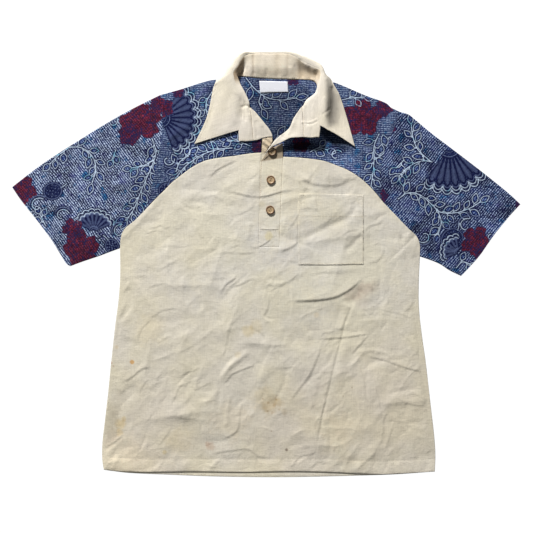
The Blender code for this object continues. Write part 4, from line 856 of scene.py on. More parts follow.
def flat_sleeve(name, shape, armhole, mat, grain, paint, stations=193, across=168, under=78):
    """A flattened tube of cloth: an outer skin around the two folds and a coarser inner skin, joined at both ends."""
    hole = np.vstack([curve(armhole[0], 0.002)[:-1], curve(armhole[1], 0.002)])

    def at(line, fractions):
        s = np.concatenate([[0], np.cumsum(np.linalg.norm(np.diff(line, axis=0), axis=1))])
        return np.stack([np.interp(fractions, s / s[-1], line[:, k]) for k in (0, 1)], 1)

    def spread(count, close):
        inner = np.linspace(0, 1, count)[1:-1]
        return np.concatenate([[0], close, inner, 1 - close[::-1], [1]])

    close = np.array([0.0006, 0.0020])
    t_top = spread(across, close)
    t_low = spread(under, close)
    s_all = np.linspace(0, 1, stations)
    over, low_edge = at(curve(shape["over"], 0.003), s_all), at(curve(shape["under"], 0.003), s_all)

    def plan(t):
        h, c = at(hole, t), at(curve(shape["cuff"], 0.003), t)
        s, tt = s_all[:, None, None], t[None, :, None]
        g = (1 - tt) * over[:, None] + tt * low_edge[:, None] + (1 - s) * h[None] + s * c[None]
        g -= (1 - s) * (1 - tt) * h[0] + (1 - s) * tt * h[-1] + s * (1 - tt) * c[0] + s * tt * c[-1]
        first = g[1] - g[0]
        g[0] -= first / np.linalg.norm(first, axis=1)[:, None] * GAP * 1.6
        return g

    mid = (CLOTH * 2 + GAP) / 2

    def skin(t, upper):
        g = plan(t)
        flat = g.reshape(-1, 2)
        e = np.minimum(np.linalg.norm(g - g[:, :1], axis=2), np.linalg.norm(g - g[:, -1:], axis=2)).ravel()
        bow = round_over(e, mid)
        if upper:
            z = mid + (np.maximum(front_low(flat) + CLOTH, 2 * mid) - mid) * bow
        else:
            z = mid - mid * bow
        return np.column_stack([flat, z]).reshape(*g.shape[:2], 3)

    top, low = skin(t_top, True), skin(t_low, False)
    outer = np.concatenate([top, low[:, -2:0:-1]], 1)
    count = outer.shape[1]
    pad = (-count) % 3
    if pad:
        raise ValueError(f"{name}: ring of {count} has to divide by 3")
    rings, ring = outer.shape[0], outer.shape[1]
    # inner skin: every third point of every third ring, moved in by the cloth's thickness
    sub = outer[::3, ::3].copy()
    nt = top.shape[1]
    is_top = (np.arange(ring)[::3] < nt)
    centre = 0.5 * (outer[::3, :1] + outer[::3, nt - 1:nt])
    inward = centre[..., :2] - sub[..., :2]
    width = np.linalg.norm(outer[::3, 0, :2] - outer[::3, nt - 1, :2], axis=1)[:, None]
    shrink = 1 - 2 * CLOTH / width
    sub[..., :2] = centre[..., :2] - inward * shrink[..., None]
    sub[..., 2] = np.where(is_top[None, :], np.maximum(sub[..., 2] - CLOTH, mid + 0.00005), np.minimum(sub[..., 2] + CLOTH, mid - 0.00005))
    inner_rings, inner_ring = sub.shape[:2]
    verts = np.vstack([outer.reshape(-1, 3), sub.reshape(-1, 3)])
    base = rings * ring
    i, j = np.meshgrid(np.arange(rings - 1), np.arange(ring), indexing="ij")
    k = (j + 1) % ring
    a, b, c, d = (i * ring + j).ravel(), (i * ring + k).ravel(), ((i + 1) * ring + k).ravel(), ((i + 1) * ring + j).ravel()
    faces = [np.stack([a, b, c], 1), np.stack([a, c, d], 1)]
    i, j = np.meshgrid(np.arange(inner_rings - 1), np.arange(inner_ring), indexing="ij")
    k = (j + 1) % inner_ring
    a, b = base + (i * inner_ring + j).ravel(), base + (i * inner_ring + k).ravel()
    c, d = base + ((i + 1) * inner_ring + k).ravel(), base + ((i + 1) * inner_ring + j).ravel()
    faces += [np.stack([c, b, a], 1), np.stack([d, c, a], 1)]
    for row, sub_row, turn in ((0, 0, 1), (rings - 1, inner_rings - 1, -1)):
        q = np.arange(inner_ring)
        o = [row * ring + (3 * q + m) % ring for m in range(4)]
        i0, i1 = base + sub_row * inner_ring + q, base + sub_row * inner_ring + (q + 1) % inner_ring
        for tri in (np.stack([o[0], i0, o[1]], 1), np.stack([o[1], i0, o[2]], 1), np.stack([o[2], i0, i1], 1), np.stack([o[2], i1, o[3]], 1)):
            faces.append(tri if turn > 0 else tri[:, ::-1])
    faces = np.vstack(faces)
    cg, sg = math.cos(grain), math.sin(grain)
    p = verts[:, :2]
    attributes = {"cloth": ("FLOAT_VECTOR", np.column_stack([p[:, 0] * cg + p[:, 1] * sg, -p[:, 0] * sg + p[:, 1] * cg, np.zeros(len(p))]))}
    attributes.update(paint(p))
    obj = make(name, verts, faces, mat, attributes)
    bm = bmesh.new()
    bm.from_mesh(obj.data)
    if bm.calc_volume(signed=True) < 0:
        bmesh.ops.reverse_faces(bm, faces=bm.faces)
        bm.to_mesh(obj.data)
    bm.free()
    obj.data.set_sharp_from_angle(angle=math.radians(70))
    return obj


# ------------------------------------------------------------------ the print: ordinary leaves, fans, pods and blossoms of this script's own
class Print:
    """Motifs of one piece in table units: strokes, pale (tone to 1) or dark (tone -1), and filled shapes."""

    def __init__(self):
        self.strokes, self.tones = [], []
        self.shapes = {"red": [], "dark": [], "leaf": []}
        # Painted shade on the print: ellipses (x, y, width, height, turn, strength) that darken the ground where
        # strength is above 0 and lighten it where below 0.
        self.shades = []

    def stroke(self, pts, tone=1.0):
        self.strokes.append(np.asarray(pts, float))
        self.tones.append(tone)

    def at(self, x, y, turn, forward, side):
        c, s = math.cos(math.radians(turn)), math.sin(math.radians(turn))
        forward, side = np.asarray(forward, float), np.asarray(side, float)
        return np.stack([x + forward * c - side * s, y - forward * s - side * c], -1)

    def leaf(self, x, y, turn, length, width, tone=1.0):
        t = np.linspace(0, 1, 14)
        half = width / 2 * np.sin(math.pi * t ** 0.88)
        edge = np.vstack([self.at(x, y, turn, t * length, half), self.at(x, y, turn, t[-2:0:-1] * length, -half[-2:0:-1])])
        self.shapes["leaf"].append(edge)

    def spray(self, path, spacing=9.0, length=11.5, width=6.2, angle=50, start=7, first=1, bare=False):
        line = smooth(path, 1.2)
        s = np.concatenate([[0], np.cumsum(np.linalg.norm(np.diff(line, axis=0), axis=1))])
        self.stroke(line)
        k, at, side = 0, start, first
        while at < s[-1] - 3 and not bare:
            p = np.array([np.interp(at, s, line[:, 0]), np.interp(at, s, line[:, 1])])
            q = np.array([np.interp(at + 1, s, line[:, 0]), np.interp(at + 1, s, line[:, 1])])
            heading = math.degrees(math.atan2(-(q[1] - p[1]), q[0] - p[0]))
            size = 1 + 0.13 * math.sin(2.3 * k + path[0][0])
            lean = heading + side * (angle + 9 * math.sin(1.7 * k + path[0][1]))
            foot = self.at(p[0], p[1], lean, 2.4, 0)
            self.stroke(np.array([p, foot]), 0.9)
            self.leaf(foot[0], foot[1], lean - side * 6, length * size, width * size)
            k, at, side = k + 1, at + spacing * (0.62 + 0.16 * math.sin(3.1 * k)), -side
        tip = line[-1]
        d = line[-1] - line[-3]
        self.leaf(tip[0], tip[1], math.degrees(math.atan2(-d[1], d[0])), length * 1.05, width)

    def fan(self, x, y, turn, spread, radius, petals):
        def ring(r, scallop=0.0, count=12):
            a = np.linspace(-spread / 2, spread / 2, petals * count + 1)
            rr = r * (1 - scallop + scallop * np.abs(np.sin(math.pi * petals * (a / spread + 0.5))) ** 0.7)
            return self.at(x, y, turn, rr * np.cos(np.radians(a)), rr * np.sin(np.radians(a)))

        edge = ring(radius, 0.10)
        self.stroke(edge, 0.85)
        self.stroke(ring(radius + 3.4, 0.09), 0.95)
        self.shapes["dark"].append(np.vstack([edge, [[x, y]]]))
        for k in range(petals):
            a = -spread / 2 + (k + 0.5) * spread / petals
            half = radius * math.radians(spread / petals) * 0.5
            ca, sa = math.cos(math.radians(a)), math.sin(math.radians(a))
            for off, r0, r1, tone in ((0.0, 0.30, 0.86, 0.30), (0.26, 0.40, 0.84, 0.24), (-0.26, 0.40, 0.84, 0.24), (0.52, 0.52, 0.78, 0.16), (-0.52, 0.52, 0.78, 0.16)):
                if abs(off) > 0.3 and radius < 22:
                    continue
                f = radius * np.linspace(r0, r1, 7)
                w = half * off * np.linspace(0.55, 1.0, 7)
                self.stroke(self.at(x, y, turn, f * ca - w * sa, f * sa + w * ca), tone)
            t = np.linspace(-1, 1, 9)
            f, w = radius * (0.93 - 0.07 * t * t), half * 0.72 * t
            self.stroke(self.at(x, y, turn, f * ca - w * sa, f * sa + w * ca), 0.42)
        self.stroke(ring(radius * 0.24), 0.5)
        self.stroke(ring(radius * 0.14), 0.35)

    def pod(self, x, y, radius, turn=90):
        a = np.linspace(0, 2 * math.pi, 33)
        r = radius * (1 + 0.05 * np.cos(2 * a))
        edge = self.at(x, y, turn, r * np.cos(a), r * np.sin(a))
        self.stroke(edge, 0.42)
        self.shapes["dark"].append(edge[:-1])
        for ring, count in ((0.0, 1), (0.36, 5), (0.68, 9)):
            for k in range(count):
                b = 2 * math.pi * k / count + ring
                p = self.at(x, y, turn, [radius * ring * math.cos(b), radius * ring * math.cos(b) + 0.6],
                            [radius * ring * math.sin(b), radius * ring * math.sin(b) + 0.3])
                self.stroke(p, 0.5)
        self.stroke(self.at(x, y, turn, [radius, radius + 3.5, radius + 7], [0, 0.8, 2.2]), 0.8)

    def blossom(self, x, y, radius, turn=0, lobes=5, stretch=1.0):
        a = np.linspace(0, 2 * math.pi, 91)
        r = radius * (0.66 + 0.34 * np.abs(np.cos(lobes / 2 * a)) ** 0.7) * (1 + 0.05 * np.sin(11 * a + turn) + 0.04 * np.sin(17 * a))
        edge = self.at(x, y, turn, r * np.cos(a) * stretch, r * np.sin(a))
        self.shapes["red"].append(edge[:-1])
        self.stroke(edge, -0.7)
        for scale, tone in ((0.72, -1.0), (0.46, -0.8)):
            self.stroke(self.at(x, y, turn, scale * r * np.cos(a) * stretch, scale * r * np.sin(a)), tone)
        for k in range(lobes):
            b = 2 * math.pi * (k + 0.5) / lobes
            self.stroke(self.at(x, y, turn, np.array([0.2, 0.62]) * radius * math.cos(b) * stretch, np.array([0.2, 0.62]) * radius * math.sin(b)), -1.0)
            b = 2 * math.pi * k / lobes
            self.stroke(self.at(x, y, turn, np.array([0.80, 0.94]) * radius * math.cos(b) * stretch, np.array([0.80, 0.94]) * radius * math.sin(b)), -0.8)

    def curl(self, x, y, turn, radius, hand=1):
        a = np.linspace(0.2, 4.6, 40)
        r = radius * (1 - a / 6.2)
        self.stroke(self.at(x, y, turn, r * np.cos(a), hand * r * np.sin(a)), 0.9)
        r2 = r + 2.6
        self.stroke(self.at(x, y, turn, r2[:20] * np.cos(a[:20]), hand * r2[:20] * np.sin(a[:20])), 0.55)

    def paint(self, plan):
        """Attributes of a mesh's points: the way to the nearest stroke and how pale it is, and how deep inside each
        kind of shape, all in mm; and the painted shade factor from the shades.
        """
        pts, tones = [], []
        for line, tone in zip(self.strokes, self.tones):
            for a, b in zip(line[:-1], line[1:]):
                n = max(1, int(np.linalg.norm(b - a) / 0.2))
                pts.append(a + (b - a) * (np.arange(n) / n)[:, None])
                tones.append(np.full(n, tone))
            pts.append(line[-1:])
            tones.append(np.array([tone]))
        pts, tones = np.vstack(pts), np.concatenate(tones)
        tree = KDTree(len(pts))
        for i, (x, y) in enumerate(pts):
            tree.insert((x, y, 0), i)
        tree.balance()
        here = np.column_stack([plan[:, 0] / U + MIDDLE[0], MIDDLE[1] - plan[:, 1] / U])
        to, tone = np.zeros((len(plan), 3)), np.zeros(len(plan))
        for k, (x, y) in enumerate(here):
            co, i, d = tree.find((x, y, 0))
            to[k] = ((co[0] - x) * U / MM, (co[1] - y) * U / MM, d * U / MM)
            tone[k] = tones[i]
        depth = np.full((len(plan), 3), -8.0)
        for c, kind in enumerate(("red", "dark", "leaf")):
            for loop in self.shapes[kind]:
                low, high = loop.min(0) - 4, loop.max(0) + 4
                near = np.nonzero(((here > low) & (here < high)).all(1))[0]
                if not len(near):
                    continue
                q = here[near]
                d = distance_to(q, [np.vstack([loop, loop[:1]])]) * U / MM
                sd = np.where(raster_inside(q, loop), d, -d)
                depth[near, c] = np.maximum(depth[near, c], np.clip(sd, -8, 8))
        shade = np.ones(len(plan))
        # painted shade, and lighter patches where strength is below 0
        for x, y, wide, high, turn, strength in self.shades:
            c, s = math.cos(math.radians(turn)), math.sin(math.radians(turn))
            dx, dy = here[:, 0] - x, y - here[:, 1]
            q = np.hypot((dx * c + dy * s) / wide, (-dx * s + dy * c) / high)
            shade = shade * (1 - strength * ease((1.35 - q) / 0.7))
        return {"line": ("FLOAT_VECTOR", to), "tone": ("FLOAT", tone), "motif": ("FLOAT_VECTOR", depth), "shade": ("FLOAT", shade)}


def print_sleeve_right():
    p = Print()
    p.blossom(141, 122, 19, 25, 5, 1.2)
    p.blossom(160, 102, 11, 70, 5)
    p.blossom(129, 135, 11, 10, 5)
    p.blossom(174, 95, 9, 10, 5)
    p.blossom(22, 190, 15, 60, 5)
    p.blossom(82, 251, 18, 100, 5, 1.25)
    p.blossom(73, 229, 11, 40, 5)
    p.spray([(152, 138), (156, 152), (152, 166), (146, 180), (140, 194), (135, 207), (127, 220)], first=-1, length=10.5, width=5.8)
    p.spray([(154, 160), (143, 166), (132, 168)], length=9.5, start=6)
    p.spray([(70, 147), (82, 148), (92, 156), (96, 168), (92, 184)], first=1, length=10.5, width=5.8)
    p.spray([(70, 147), (60, 154), (50, 164)], length=9.5)
    p.spray([(116, 150), (112, 160)], length=8.5, start=4)
    p.fan(94, 231, 88, 140, 19, 8)
    p.pod(53, 191, 8.5, 20)
    p.pod(112, 246, 6.5, 120)
    p.curl(38, 206, 40, 9)
    p.curl(112, 122, 140, 9, -1)
    p.curl(62, 216, 10, 8)
    p.curl(120, 232, 60, 8)
    p.spray([(46, 226), (40, 214)], length=8.5, start=4)
    # lighter patches of ground
    p.shades += [(90, 196, 34, 26, 30, -0.18), (36, 212, 14, 22, 30, -0.2)]
    return p


def print_sleeve_left():
    p = Print()
    p.blossom(389, 128, 7, 60, 5)
    p.blossom(475, 241, 14, 60, 5, 1.15)
    p.blossom(484, 255, 10, 10, 5)
    p.blossom(381, 196, 7, 0, 5)
    p.blossom(520, 205, 5, 0, 5)
    p.fan(449, 146, 292, 112, 45, 9)
    p.spray([(398, 199), (408, 193), (420, 195), (431, 204), (440, 212), (454, 213), (470, 208), (480, 202)], first=1, length=10.5, width=5.8)
    p.spray([(437, 209), (441, 222), (438, 234)], length=10, first=-1)
    p.spray([(432, 162), (422, 161), (410, 166), (399, 176)], first=-1, length=10.5, width=5.8)
    p.spray([(430, 161), (418, 150), (413, 138), (411, 124)], length=10, width=5.6)
    p.spray([(404, 160), (396, 168)], length=9, start=4)
    p.spray([(456, 268), (462, 262), (470, 264)], length=9.5)
    p.pod(452, 240, 11, 60)
    p.fan(458, 252, 150, 120, 15, 6)
    p.curl(424, 236, 200, 8)
    p.curl(492, 236, 30, 9, -1)
    p.curl(466, 226, 60, 8)
    # lighter patches of ground
    p.shades += [(488, 214, 22, 12, -60, -0.34), (405, 150, 16, 22, 0, -0.12), (478, 256, 24, 10, 48, -0.22)]
    return p


def print_yoke_right():
    p = Print()
    p.fan(161, 118, -6, 126, 37, 9)
    p.spray([(232, 148), (216, 150), (200, 156), (186, 166), (176, 178)], first=1)
    p.spray([(214, 150), (210, 138), (212, 126)], length=10, first=-1)
    p.spray([(250, 146), (240, 142), (228, 140)], length=9.5)
    p.spray([(212, 92), (206, 104), (208, 118)], length=9.5, first=-1)
    p.spray([(176, 172), (180, 162), (190, 154)], first=1, length=10)
    p.blossom(164, 108, 10, 40, 5)
    p.blossom(258, 147, 7, 0, 5)
    p.blossom(178, 92, 6, 20, 5)
    p.pod(166, 190, 6.5, 30)
    p.curl(244, 120, 100, 8)
    p.curl(168, 160, 20, 7, -1)
    # painted shadow under the right facing's foot, and a lighter patch of ground
    p.shades += [(253, 148, 12, 4.5, 6, 0.45), (206, 147, 24, 7, 12, -0.30)]
    return p


def print_yoke_left():
    p = Print()
    p.blossom(362, 118, 19, 15, 5, 1.1)
    p.blossom(384, 108, 9, 60, 5)
    p.blossom(301, 144, 9, 80, 5)
    p.blossom(388, 196, 8, 10, 5)
    p.spray([(379, 134), (374, 146), (374, 158), (373, 172), (371, 186)], first=-1, length=10.5, width=5.8)
    p.spray([(374, 160), (383, 154), (389, 144)], length=10)
    p.spray([(310, 152), (319, 148), (327, 150)], length=9, start=4, first=-1)
    p.spray([(342, 100), (352, 98), (364, 98)], length=9.5)
    p.curl(336, 156, 20, 7)
    # painted shadow under the left facing, the raised collar leaf and its notch, and lighter patches lower on the yoke
    p.shades += [(301, 147, 17, 5.0, 4, 0.74), (337, 139, 17, 7.0, -34, 0.62), (325, 131, 6, 6, 0, 0.5), (341, 162, 20, 9, -20, -0.40), (364, 168, 13, 20, 20, -0.24)]
    return p


def print_yoke_back():
    p = Print()
    p.spray([(246, 78), (256, 90), (268, 98), (283, 100), (296, 98)], spacing=13, length=12, width=6.4, first=-1, start=9)
    p.spray([(261, 95), (259, 102), (262, 109)], spacing=12, length=11, width=6, start=9)
    p.blossom(293, 79, 7, 20, 5)
    # painted shade in the neck opening below the collar
    p.shades += [(277, 116, 26, 22, 0, 0.40), (277, 134, 12, 10, 0, 0.25)]
    for x, y, turn, kind in ((176, 112, 40, 0), (214, 132, 200, 1), (196, 168, 120, 2), (240, 160, 10, 0), (170, 146, 80, 3),
                             (318, 116, 100, 0), (344, 150, 40, 2), (364, 116, 130, 1), (378, 160, 220, 3), (300, 176, 170, 0),
                             (330, 176, 20, 3), (160, 184, 60, 1), (226, 108, 150, 2), (384, 190, 100, 0), (272, 176, 90, 2)):
        if kind == 0:
            p.blossom(x, y, 13, turn)
        elif kind == 1:
            p.fan(x, y, turn, 130, 18, 7)
        elif kind == 2:
            q = p.at(x, y, turn, [0, 14, 28, 40], [0, 4, 2, -6])
            p.spray([tuple(v) for v in q])
        else:
            p.pod(x, y, 7, turn)
            q = p.at(x, y, turn + 160, [8, 20, 32], [0, 3, 0])
            p.spray([tuple(v) for v in q], length=10)
    return p


# ------------------------------------------------------------------ stains on the natural cloth, with painted shade and painted light among them. Columns: x, y, radius in units, softness, colour, strength
# Grey and mauve-grey entries are painted shade (below 1) and painted light (above 1) over folds, beside the placket and
# pocket and near the left side; the yellow, ochre, brown, rust and pink ones are stains; the broad faint warm and cool
# ones vary the cloth's tone.
STAIN_AND_SHADING_SPOTS = [
    (132.2, 362, 2.3, 0.5, (0.86, 0.52, 0.22), 0.85), (116.6, 347, 2.0, 0.8, (0.88, 0.72, 0.46), 0.35), (111.5, 363, 1.1, 0.6, (0.70, 0.36, 0.28), 0.5),
    (113.4, 366, 0.8, 0.6, (0.70, 0.36, 0.28), 0.4), (248, 330.6, 5.6, 0.7, (0.93, 0.83, 0.58), 0.55), (256, 327, 6.6, 0.8, (0.93, 0.85, 0.64), 0.4),
    (238, 354, 3.2, 0.9, (0.90, 0.80, 0.58), 0.35), (268.8, 236, 4.0, 0.8, (0.93, 0.84, 0.52), 0.55), (316.5, 315, 2.6, 0.9, (0.88, 0.76, 0.60), 0.4),
    (271, 407, 9.0, 1.0, (0.80, 0.73, 0.62), 0.5), (268.4, 402.6, 1.3, 0.7, (0.70, 0.60, 0.48), 0.5), (274.6, 405.4, 1.6, 0.7, (0.70, 0.60, 0.48), 0.5), (279.2, 409.4, 1.2, 0.7, (0.68, 0.58, 0.46), 0.5), (272.2, 412.6, 1.5, 0.7, (0.72, 0.62, 0.50), 0.5), (276.4, 399.6, 0.9, 0.7, (0.66, 0.56, 0.44), 0.5), (266, 399, 12, 1.0, (0.90, 0.83, 0.68), 0.5), (278, 402, 4.0, 0.8, (0.76, 0.68, 0.56), 0.5), (264, 409, 3.0, 0.8, (0.74, 0.66, 0.52), 0.45), (284, 412, 3.2, 0.8, (0.80, 0.72, 0.60), 0.4), (263, 399, 0.8, 0.6, (0.55, 0.42, 0.30), 0.55),
    (267.7, 411, 0.9, 0.6, (0.55, 0.42, 0.30), 0.5), (271.5, 431, 0.7, 0.6, (0.55, 0.42, 0.30), 0.5), (286.6, 449.5, 1.5, 0.5, (0.32, 0.26, 0.24), 0.75),
    (210.7, 446, 4.4, 0.7, (0.84, 0.74, 0.69), 0.8), (207.6, 443.8, 2.4, 0.7, (0.84, 0.72, 0.67), 0.5), (120.6, 424, 5.0, 0.8, (0.90, 0.75, 0.46), 0.55),
    (124, 418.6, 2.4, 0.8, (0.92, 0.78, 0.50), 0.5), (120, 432, 3.2, 0.8, (0.90, 0.77, 0.50), 0.45), (113.6, 409, 6.5, 1.0, (0.80, 0.79, 0.79), 0.7),
    (112.6, 420, 7.0, 1.0, (0.78, 0.77, 0.77), 0.75), (111.4, 433, 7.0, 1.0, (0.80, 0.78, 0.77), 0.75), (109.0, 443, 4.0, 1.0, (0.80, 0.78, 0.77), 0.6),
    (120, 398, 6.0, 1.0, (0.88, 0.87, 0.87), 0.6), (128, 376, 6.5, 1.0, (0.88, 0.87, 0.86), 0.55), (127, 321, 5.0, 1.0, (0.90, 0.89, 0.88), 0.5),
    (330, 181, 13, 1.2, (0.90, 0.90, 0.92), 0.55), (330, 251, 16, 1.2, (1.08, 1.08, 1.08), 0.6), (336, 225, 12, 1.0, (0.89, 0.88, 0.89), 0.5),
    (334, 235, 20, 1.2, (0.93, 0.93, 0.935), 0.55), (232, 186, 15, 1.2, (0.95, 0.95, 0.95), 0.5), (318, 204, 4.5, 1.0, (0.93, 0.925, 0.93), 0.6), (328, 178, 13, 1.2, (0.945, 0.955, 0.97), 0.6), (330, 253, 15, 1.2, (1.05, 1.05, 1.05), 0.5),
    (126, 335, 9, 1.2, (1.035, 1.035, 1.04), 0.6), (126, 362, 8, 1.2, (1.035, 1.035, 1.04), 0.6),
    (164.7, 452, 2.2, 0.8, (0.92, 0.80, 0.50), 0.5), (351.8, 387.5, 0.8, 0.6, (0.50, 0.40, 0.30), 0.45), (343, 396, 0.7, 0.6, (0.50, 0.40, 0.30), 0.4),
    (150, 330, 14, 1.0, (0.96, 0.90, 0.76), 0.35), (230, 420, 18, 1.0, (0.95, 0.88, 0.74), 0.32), (340, 430, 16, 1.0, (0.95, 0.90, 0.80), 0.25),
    (322, 180, 17, 1.2, (0.93, 0.93, 0.92), 0.6), (340, 183, 10, 1.1, (0.92, 0.92, 0.91), 0.5), (293, 205, 6, 1.0, (0.88, 0.87, 0.88), 0.6),
    (293, 222, 6.5, 1.0, (0.86, 0.85, 0.86), 0.65), (292, 238, 7, 1.0, (0.88, 0.87, 0.88), 0.6), (306, 226, 9, 1.0, (0.90, 0.89, 0.90), 0.6),
    (322, 217, 10, 1.1, (0.90, 0.90, 0.90), 0.55), (340, 208, 9, 1.1, (0.92, 0.92, 0.92), 0.5), (354, 238, 8, 1.1, (0.93, 0.92, 0.93), 0.5),
    (262, 196, 9, 1.1, (0.92, 0.91, 0.90), 0.5), (240, 197, 10, 1.2, (0.94, 0.93, 0.92), 0.5), (284, 262, 12, 1.2, (0.95, 0.94, 0.95), 0.5),
    (372, 248, 10, 1.2, (0.94, 0.94, 0.94), 0.5), (208, 172, 9, 1.2, (0.94, 0.93, 0.93), 0.5), (246, 256, 14, 1.2, (0.95, 0.95, 0.94), 0.5),
    (366, 288.6, 7.5, 0.7, (0.80, 0.75, 0.74), 0.75), (357, 293.4, 6.5, 0.7, (0.80, 0.76, 0.75), 0.7), (348.6, 297.4, 5, 0.7, (0.84, 0.80, 0.78), 0.6),
    (374, 286, 6, 0.9, (0.88, 0.84, 0.82), 0.5), (352, 295, 6.5, 0.7, (0.92, 0.895, 0.90), 0.6), (364, 288, 5.5, 0.7, (0.93, 0.90, 0.91), 0.6), (361, 301, 7, 1.0, (0.90, 0.86, 0.85), 0.5), (338, 307, 13, 1.3, (0.91, 0.90, 0.88), 0.55),
    (312, 308, 15, 1.3, (0.91, 0.91, 0.90), 0.55), (286, 306, 16, 1.3, (0.93, 0.93, 0.92), 0.5), (300, 395, 26, 1.3, (0.90, 0.89, 0.90), 0.6),
    (384, 412, 56, 1.4, (0.99, 0.955, 0.95), 0.6), (290, 440, 44, 1.4, (1.0, 0.965, 0.95), 0.55), (150, 440, 50, 1.4, (1.01, 0.975, 0.955), 0.5),
    (118, 452, 20, 1.2, (1.08, 1.06, 1.06), 0.7), (136, 466, 26, 1.2, (1.08, 1.05, 1.03), 0.6), (210, 225, 60, 1.4, (0.985, 1.01, 1.07), 0.6),
    (345, 255, 62, 1.4, (0.985, 1.015, 1.08), 0.65), (262, 280, 60, 1.4, (0.985, 1.0, 1.035), 0.6), (196, 250, 20, 1.0, (0.98, 0.94, 0.84), 0.25), (180, 440, 12, 1.0, (0.95, 0.88, 0.72), 0.3), (262, 204, 3.0, 1.0, (0.92, 0.84, 0.62), 0.3),
]


def stain_points():
    """A finer patch of points under each small spot of the table; the small ones are all stains."""
    out = []
    for x, y, r, *_ in STAIN_AND_SHADING_SPOTS:
        if r < 3:
            a = np.arange(-4, 4.01, 0.42)
            gx, gy = np.meshgrid(a, a)
            keep = gx ** 2 + gy ** 2 < (r + 0.9) ** 2
            out.append(np.stack([x + gx[keep] + 0.07 * np.sin(gy[keep] * 9), y + gy[keep]], 1))
    return metres(np.vstack(out))


def stains_and_shading(plan):
    # The table's stains, painted shade and painted light, as one colour multiplier.
    here = np.column_stack([plan[:, 0] / U + MIDDLE[0], MIDDLE[1] - plan[:, 1] / U])
    tint = np.ones((len(plan), 3))
    wob = noise(plan, 0.006, 61) * 0.22 + noise(plan, 0.018, 62) * 0.25
    for x, y, r, softness, colour, strength in STAIN_AND_SHADING_SPOTS:
        d = np.linalg.norm(here - (x, y), axis=1) / r + wob * (0.6 if r < 3 else 1.2)
        f = strength * ease((1 + softness * 0.5 - d) / max(softness, 0.3))
        tint = tint * (1 - f[:, None]) + tint * np.array(colour) * f[:, None]
    x, y = here[:, 0], here[:, 1]
    # Below the hem stitching the band is made lighter.
    hem = ease((y - np.interp(x, [103, 145, 194, 334, 380, 435], [456.4, 459, 458.6, 459.2, 460.8, 458.4])) / 1.2)
    gain = np.interp(x, [110, 160, 270, 400], [1.15, 1.17, 1.25, 1.22])
    tint = tint * (1 + hem[:, None] * (gain[:, None] * np.array((1.0, 0.995, 0.985)) - 1))
    return {"stain_shading": ("FLOAT_VECTOR", tint)}


# ------------------------------------------------------------------ materials
def linear(text):
    rgb = [int(text[i:i + 2], 16) / 255 for i in (1, 3, 5)]
    return tuple(c / 12.92 if c <= 0.04045 else ((c + 0.055) / 1.055) ** 2.4 for c in rgb)


class Shade:
    """A material, with short names for the nodes it is made of."""

    def __init__(self, name, roughness=0.9):
        self.mat = bpy.data.materials.new(name)
        self.mat.use_nodes = True
        self.nodes, self.links = self.mat.node_tree.nodes, self.mat.node_tree.links
        self.bsdf = self.nodes["Principled BSDF"]
        self.bsdf.inputs["Roughness"].default_value = roughness
        self.bsdf.inputs["Metallic"].default_value = 0.0

    def put(self, socket, v):
        if isinstance(v, bpy.types.NodeSocket):
            self.links.new(v, socket)
        elif isinstance(v, tuple) and len(v) == 3 and socket.type == "RGBA":
            socket.default_value = (*v, 1)
        else:
            socket.default_value = v

    def attr(self, name, out="Vector"):
        n = self.nodes.new("ShaderNodeAttribute")
        n.attribute_type = "GEOMETRY"
        n.attribute_name = name
        return n.outputs[out]

    def object(self):
        return self.nodes.new("ShaderNodeTexCoord").outputs["Object"]

    def math(self, op, a, b=0.0, c=0.0, clamp=False):
        n = self.nodes.new("ShaderNodeMath")
        n.operation, n.use_clamp = op, clamp
        for socket, v in zip(n.inputs, (a, b, c)):
            self.put(socket, v)
        return n.outputs[0]

    def add(self, a, b):
        return self.math("ADD", a, b)

    def mul(self, a, b):
        return self.math("MULTIPLY", a, b)

    def split(self, v):
        n = self.nodes.new("ShaderNodeSeparateXYZ")
        self.put(n.inputs[0], v)
        return n.outputs[0], n.outputs[1], n.outputs[2]

    def join(self, x, y, z=0.0):
        n = self.nodes.new("ShaderNodeCombineXYZ")
        for socket, v in zip(n.inputs, (x, y, z)):
            self.put(socket, v)
        return n.outputs[0]

    def noise(self, vec, scale=1.0, detail=2.0, rough=0.5, distortion=0.0):
        n = self.nodes.new("ShaderNodeTexNoise")
        n.noise_dimensions = "3D"
        self.put(n.inputs["Vector"], vec)
        for key, v in (("Scale", scale), ("Detail", detail), ("Roughness", rough), ("Distortion", distortion)):
            n.inputs[key].default_value = v
        return n.outputs[0]

    def span(self, v, a, b, c=0.0, d=1.0, kind="SMOOTHSTEP"):
        n = self.nodes.new("ShaderNodeMapRange")
        n.interpolation_type = kind
        for key, x in (("Value", v), ("From Min", a), ("From Max", b), ("To Min", c), ("To Max", d)):
            self.put(n.inputs[key], x)
        return n.outputs[0]

    def mix(self, f, a, b, blend="MIX"):
        n = self.nodes.new("ShaderNodeMix")
        n.data_type, n.blend_type = "RGBA", blend
        self.put(n.inputs[0], f)
        self.put(n.inputs[6], a)
        self.put(n.inputs[7], b)
        return n.outputs[2]

    def wave(self, v, size):
        return self.add(self.mul(self.math("SINE", self.mul(v, 2 * math.pi / size)), 0.5), 0.5)

    def bump(self, height, distance, strength=1.0, before=None):
        n = self.nodes.new("ShaderNodeBump")
        self.put(n.inputs["Height"], height)
        n.inputs["Distance"].default_value = distance
        n.inputs["Strength"].default_value = strength
        if before is not None:
            self.links.new(before, n.inputs["Normal"])
        return n.outputs[0]


def weave(s, u, v, pitch, place):
    """Plain weave, as a height from 0 to 1."""
    over = s.mul(s.wave(u, pitch * 2), s.wave(v, pitch * 2))
    under = s.mul(s.math("SUBTRACT", 1.0, s.wave(u, pitch * 2)), s.math("SUBTRACT", 1.0, s.wave(v, pitch * 2)))
    return s.add(over, under)


